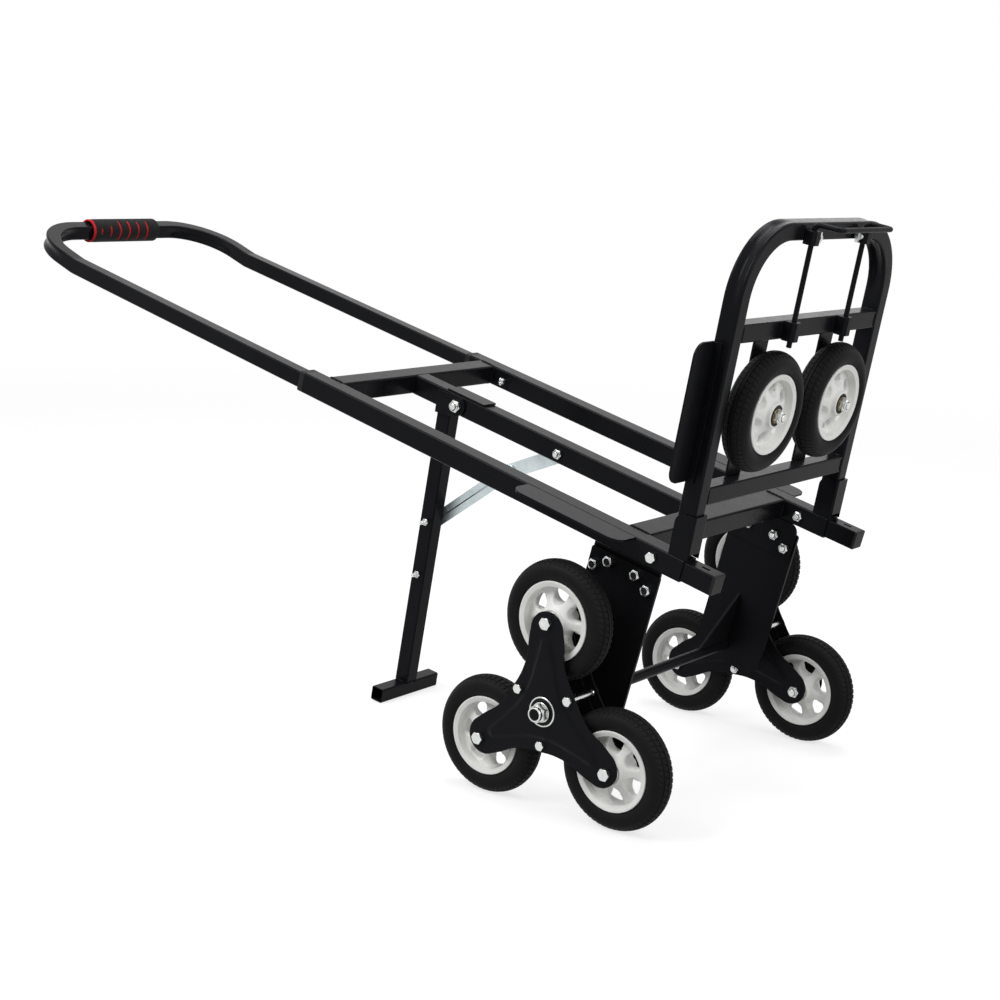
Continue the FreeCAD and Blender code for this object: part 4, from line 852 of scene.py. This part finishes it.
# the near end as (distance from it, depth below the skin) in mm, from the bore out; the second to the seventh
# stretch are red
NEAR_END = ((9, 6.6), (2.0, 3.6), (0.4, 3.0), (0, 1.9), (0.5, 0.7), (1.8, 0), (3.6, 0.1), (4.4, 0.8), (5.2, 0.2))
BLACK, RED, STRIPE = 0, 1, 2
STRIPE_FIRST = 17 * MM  # from the grip's near end
STRIPE_STEP = 20.0 * MM
STRIPE_WIDTH = 3.6 * MM
STRIPE_DEPTH = 0.9 * MM
STRIPE_WALL = 0.5 * MM
STRIPE_TAPER = 0.35  # of the width, by which each side closes in where the stripe ends
STRIPE_KINK = (0.3 * MM, 0.5 * MM, 1.6 * MM, 1.0 * MM, 0.5 * MM, 0.2 * MM)  # of each stripe's middle
STRIPE_REACH = (0.30, 0.50, 1.05, 1.00, 0.90, 0.95)  # half angle of each stripe, radians
KINK_REACH = 0.34


def stripe_turn(step):
    """Angle from the nearer of the two lines, front and back, that the stripes are centred on."""
    return abs(math.remainder(math.tau * step / GRIP_STEPS, math.pi))


def stripe_point(along, radius, stripe, side, off):
    """Distance along the grip and radius of a point of a stripe's rows; side is 0 beside the cut, -1 or 1 in it."""
    along += STRIPE_KINK[stripe] * max(0, 1 - off / KINK_REACH)
    if side:
        radius -= STRIPE_DEPTH * soft_step((STRIPE_REACH[stripe] - off) / 0.18 + 0.5)
        along -= side * STRIPE_TAPER * STRIPE_WIDTH * soft_step((off - STRIPE_REACH[stripe] + 0.35) / 0.4)
    return along, radius


def grip_rows(half, radius):
    """Rows of (distance from the middle, radius, material after the row), and a stripe's with the stripe and side."""
    rows = [(inward * MM - half, radius - below * MM, RED if 0 < index < 7 else BLACK)
            for index, (inward, below) in enumerate(NEAR_END)]
    for stripe in range(len(STRIPE_REACH)):
        at = STRIPE_FIRST + STRIPE_STEP * stripe - half
        edge = STRIPE_WIDTH / 2
        rows += [(at - STRIPE_STEP / 2, radius, BLACK)] if stripe else []
        rows += [(at - edge - STRIPE_WALL, radius, BLACK, stripe, 0), (at - edge, radius, STRIPE, stripe, -1)]
        rows += [(at + edge, radius, BLACK, stripe, 1), (at + edge + STRIPE_WALL, radius, BLACK, stripe, 0)]
    for turn in np.linspace(0, math.pi / 2, 6):
        across, along = flat(FAR_ROUND, turn)
        rows.append((half - FAR_ROUND + along, radius - FAR_ROUND + across, BLACK))
    return rows + [(half, radius - NEAR_END[0][1] * MM, BLACK)]


def grip():
    """Foam sleeve with a red rolled end and red crescents cut through its black skin."""
    _, half, radius = size("handle_grip") / 2
    place = axes(middle("handle_grip"), ACROSS, (1, 0, 0))
    shape = Shape("grip_foam", "red_foam")
    rows = grip_rows(half, radius)
    rings = []
    for along, out, _, *cut in rows:
        spots = [stripe_point(along, out, *cut, stripe_turn(step)) if cut else (along, out)
                 for step in range(GRIP_STEPS)]
        rings.append(shape.ring([place @ polar(reach, math.tau * step / GRIP_STEPS, level)
                                 for step, (level, reach) in enumerate(spots)]))
    for first, second, (_, _, material, *cut) in zip(rings, rings[1:] + rings[:1], rows):
        if material == STRIPE:
            end = STRIPE_REACH[cut[0]]
            shape.bridge(first, second, lambda step: RED if stripe_turn(step + 0.5) < end else BLACK)
        else:
            shape.bridge(first, second, material)
    shape.finish("grip_sleeve", "handle", 45, ("handle_grip",))


grip()


# --- bent tubes ---

CREASE_HALF = 9.5 * MM
CREASE_DEPTH = 2.8 * MM
CREASE_CUTS = (0.0, 0.2, 0.4, 0.6, 0.8, 1.0)  # shares of the half width
END_CUTS, SIDE_CUTS = (20, 12, 4), (12, 6)  # mm before the bend's centre
# where the crease starts before the bend's centre, and the length it takes to reach its depth
END_FADE, SIDE_FADE = (20 * MM, 40 * MM), (12 * MM, 34 * MM)


def loop_corner(node, front, bend):
    """Centre of the left bend, end direction and plane of a tube whose loop is its last part along front."""
    points = points_of(node)
    last = max(point.dot(front) for point in points)
    loop = np.array([point for point in points if last - point.dot(front) < bend * 0.9])
    plane = np.linalg.svd(loop - loop.mean(axis=0))[2][2]
    plane = Vector((plane[0], 0, plane[2])).normalized()
    end = plane.cross(ACROSS)
    end = end if end.dot(front) > 0 else -end
    levels = loop @ np.array(plane)
    reach = max(point.dot(end) for point in points) - bend
    width = max(point.y for point in points) - bend
    return plane * (levels.min() + levels.max()) / 2 + end * reach + ACROSS * width, end, plane


def bent_tube(node, body, front, bend, half):
    """The node's square tube, its walls drawn in along both bends of its loop as a bender leaves them.

    bend is the outside radius of the bends and half is half of the tube's width.
    """
    corner, end, plane = loop_corner(node, front, bend)
    shape = Shape("powder_coat")
    shape.bm.from_mesh(frame["nodes"][node].data)
    bmesh.ops.remove_doubles(shape.bm, verts=shape.bm.verts, dist=1e-6)
    cuts = [(corner + plane * sign * share * CREASE_HALF, plane) for share in CREASE_CUTS for sign in (-1, 1)]
    cuts += [(corner - end * before * MM, end) for before in END_CUTS]
    cuts += [(Vector((0, sign * (corner.y - before * MM), 0)), ACROSS) for before in SIDE_CUTS for sign in (-1, 1)]
    for place, normal in cuts:
        everything = shape.bm.verts[:] + shape.bm.edges[:] + shape.bm.faces[:]
        bmesh.ops.bisect_plane(shape.bm, geom=everything, plane_co=place, plane_no=normal)
    for vert in shape.bm.verts:
        along, out = (vert.co - corner).dot(end), abs(vert.co.y) - corner.y
        ray = end * max(along, 0) + ACROSS * math.copysign(max(out, 0), vert.co.y)
        if ray.length < 1 * MM:
            continue
        zone = soft_step((along + END_FADE[0]) / END_FADE[1]) * soft_step((out + SIDE_FADE[0]) / SIDE_FADE[1])
        off = abs((vert.co - corner).dot(plane))
        depth = CREASE_DEPTH * zone * (1 - soft_step(off / CREASE_HALF))
        side = 1 if ray.length > bend - half else -1
        vert.co -= ray.normalized() * side * depth
    piece = shape.finish(f"{node}_bent", body, 32, (node,))
    piece.modifiers.new("flats", "WEIGHTED_NORMAL").keep_sharp = True


bent_tube("toe_hoop", "load_frame", load_up, 97.5 * MM, 11.5 * MM)
bent_tube("handle_tube", "handle", rail_way, 102 * MM, 12 * MM)


# --- weld beads ---

BEAD_RADIUS = 1.7 * MM
BEAD_RIPPLE = 1.3 * MM
BEAD_SWELL, BEAD_UNEVEN = 0.10, 0.06  # of the radius, from ring to ring and at random
BEAD_WANDER = 0.15  # mm, at random
BEAD_SUNK = 0.2 * MM  # into the face it lies on
BEAD_STEPS = 12


def bead(shape, place, start, end, inset=2.5 * MM):
    """A rippled run of weld between two points in the axes of a place, short of both by the inset."""
    run = (end - start).normalized() * inset
    start, end = place @ (start + run), place @ (end - run)
    length = (end - start).length
    along = axes(start, end - start, UP if abs((end - start).normalized().z) < 0.9 else (1, 0, 0))
    count = max(4, round(length / (BEAD_RIPPLE / 2)))
    rings = []
    for index in range(count + 1):
        share = index / count
        swell = 1 + BEAD_SWELL * (1 if index % 2 else -1) + random.uniform(-BEAD_UNEVEN, BEAD_UNEVEN)
        taper = math.sqrt(max(1 - (2 * share - 1) ** 8, 0.02))
        shift = Vector([random.uniform(-BEAD_WANDER, BEAD_WANDER) * MM for _ in range(2)] + [0])
        rings.append(shape.ring([along @ (polar(BEAD_RADIUS * swell * taper, math.tau * step / BEAD_STEPS,
                                                length * share) + shift) for step in range(BEAD_STEPS)]))
    for first, second in zip(rings, rings[1:]):
        shape.bridge(first, second)
    shape.bm.faces.new(rings[0])
    shape.bm.faces.new(rings[-1][::-1])


def bar_edges(low, high):
    """Top, bottom, front and back edge of a bar's end, each as two (x, z) corners."""
    return (((low.x, high.z), (high.x, high.z)), ((low.x, low.z), (high.x, low.z)),
            ((high.x, low.z), (high.x, high.z)), ((low.x, low.z), (low.x, high.z)))


def end_bead(shape, place, edge, level):
    """A bead along an edge of a bar's end at y = level."""
    bead(shape, place, *(Vector((x, level, z)) for x, z in edge))


# the crossbars between the rails
welds = Shape("powder_coat")
place = axes(axle, -rail_way.cross(ACROSS), rail_way)
rail_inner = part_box("upper_crossbar")[1].y - BEAD_SUNK
for node in ("upper_crossbar", "lower_crossbar"):
    for edge in bar_edges(*box_along(node, place)):
        for sign in (1, -1):
            end_bead(welds, place, edge, sign * rail_inner)
welds.finish("frame_welds", "chassis", 60)

# round the leg, where it meets its foot
welds = Shape("powder_coat")
place = axes(middle("leg_tube"), leg_down, ACROSS)
low, high = box_along("leg_tube", place, 20 * MM)
level = high.z - 0.4 * MM
corners = [Vector((x, y, level)) for x, y in ((low.x, low.y), (high.x, low.y), (high.x, high.y), (low.x, high.y))]
for first, last in zip(corners, corners[1:] + corners[:1]):
    bead(welds, place, first, last, inset=2 * MM)
welds.finish("leg_welds", "leg", 60)

# the load frame's two crossbars, both in one node's box
welds = Shape("powder_coat")
place = axes(joint_at("load_frame_fold"), -load_up, load_front)
low, high = box_along("toe_crossbars", place)
width = Vector((0, 0, high.x - low.x))
toe_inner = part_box("toe_crossbars")[1].y - BEAD_SUNK
bars = ((low, Vector((high.x, high.y, low.z)) + width), (Vector((low.x, low.y, high.z)) - width, high))
for bar_low, bar_high in bars:
    for sign in (1, -1):
        for edge in bar_edges(bar_low, bar_high):
            end_bead(welds, place, edge, sign * toe_inner)
welds.finish("load_frame_welds", "load_frame", 60)


# --- floor, light and camera ---

SNOW = (1, 1, 1)
FLOOR_COLOUR = 0.30  # what the lamps' light does on it; the rest of its white is seen only
FLOOR_LIFT = 0.72
FLOOR_HALF = 9.0
FADE_START, FADE_END = 2.2, 4.2
AMBIENT = 0.38
LENS, SHIFT = 65.74, (-0.0201, -0.0468)
YAW, PITCH, ROLL = math.radians(126.71), math.radians(-9.75), math.radians(2.57)
CAMERA_PLACE = (axle.x + 1.31674, -2.11277, 0.86346)


def floor():
    """A wide pale floor that fades to the white of the backdrop and keeps the shadow."""
    m = Surface("floor")
    colour = m.blend(m.noise(3, 2, 0.5), (FLOOR_COLOUR,) * 3, (FLOOR_COLOUR * 1.03,) * 3)
    lit = m.shade(Base_Color=colour, Roughness=0.9, Specular_IOR_Level=0.0)
    seen = m.seen_rays()
    glow = m.add("ShaderNodeEmission", {"Color": SNOW, "Strength": m.maths("MULTIPLY", seen, FLOOR_LIFT)})
    both = m.add("ShaderNodeAddShader", {0: lit, 1: glow.outputs["Emission"]})
    # with distance, what is seen turns into the backdrop's white
    reach = m.add("ShaderNodeVectorMath", {0: m.place}, operation="LENGTH").outputs["Value"]
    fade = m.add("ShaderNodeMapRange", {"Value": reach, "From Min": FADE_START, "From Max": FADE_END},
                 interpolation_type="SMOOTHSTEP").outputs["Result"]
    white = m.add("ShaderNodeEmission", {"Color": SNOW}).outputs["Emission"]
    mix = m.add("ShaderNodeMixShader", {"Fac": m.maths("MULTIPLY", fade, seen), 1: both.outputs["Shader"], 2: white})
    mesh = bpy.data.meshes.new("floor")
    corners = [(x * FLOOR_HALF, y * FLOOR_HALF, 0) for x, y in ((-1, -1), (1, -1), (1, 1), (-1, 1))]
    mesh.from_pydata(corners, [], [(0, 1, 2, 3)])
    mesh.materials.append(m.show(mix.outputs["Shader"]))
    add_object("floor", mesh)


def backdrop():
    """White to the camera and to mirror rays, and a soft even light on everything else."""
    world = bpy.data.worlds.new("studio")
    bpy.context.scene.world = world
    tree = Tree(world)
    dim, bright = (tree.add("ShaderNodeBackground", {"Color": SNOW, "Strength": strength}).outputs["Background"]
                   for strength in (AMBIENT, 1.0))
    mix = tree.add("ShaderNodeMixShader", {"Fac": tree.seen_rays(), 1: dim, 2: bright})
    tree.add("ShaderNodeOutputWorld", {"Surface": mix.outputs["Shader"]})


def lamp(name, place, target, width, power):
    """A square soft box at place, facing target."""
    data = bpy.data.lights.new(name, "AREA")
    data.shape = "SQUARE"
    data.size = width
    data.energy = power
    light = add_object(name, data)
    light.location = place
    light.rotation_euler = (Vector(target) - Vector(place)).to_track_quat("-Z", "Y").to_euler()


def camera():
    """The view: from the right of the load frame's end, a little above the rails."""
    data = bpy.data.cameras.new("camera")
    data.sensor_width = 36
    data.lens = LENS
    data.shift_x, data.shift_y = SHIFT
    data.clip_end = 50
    view = add_object("camera", data)
    forward = polar(math.cos(PITCH), YAW, math.sin(PITCH))
    level = Vector((math.sin(YAW), -math.cos(YAW), 0))
    right = level * math.cos(ROLL) + level.cross(forward) * math.sin(ROLL)
    turn = Matrix((right, right.cross(forward), -forward)).transposed()
    view.matrix_world = Matrix.Translation(CAMERA_PLACE) @ turn.to_4x4()
    bpy.context.scene.camera = view


floor()
backdrop()
lamp("key", (-1.0, -2.6, 3.2), (0, 0, 0.4), 2.0, 95)
lamp("side", (3.2, -0.6, 2.0), (0.3, 0, 0.4), 1.8, 40)
lamp("top", (0.2, 0.6, 3.6), (0.1, 0, 0.3), 2.2, 76)
lamp("back", (-1.8, 3.2, 2.1), (0, 0, 0.4), 3.0, 10)
camera()
bpy.context.scene.view_settings.view_transform = "Standard"
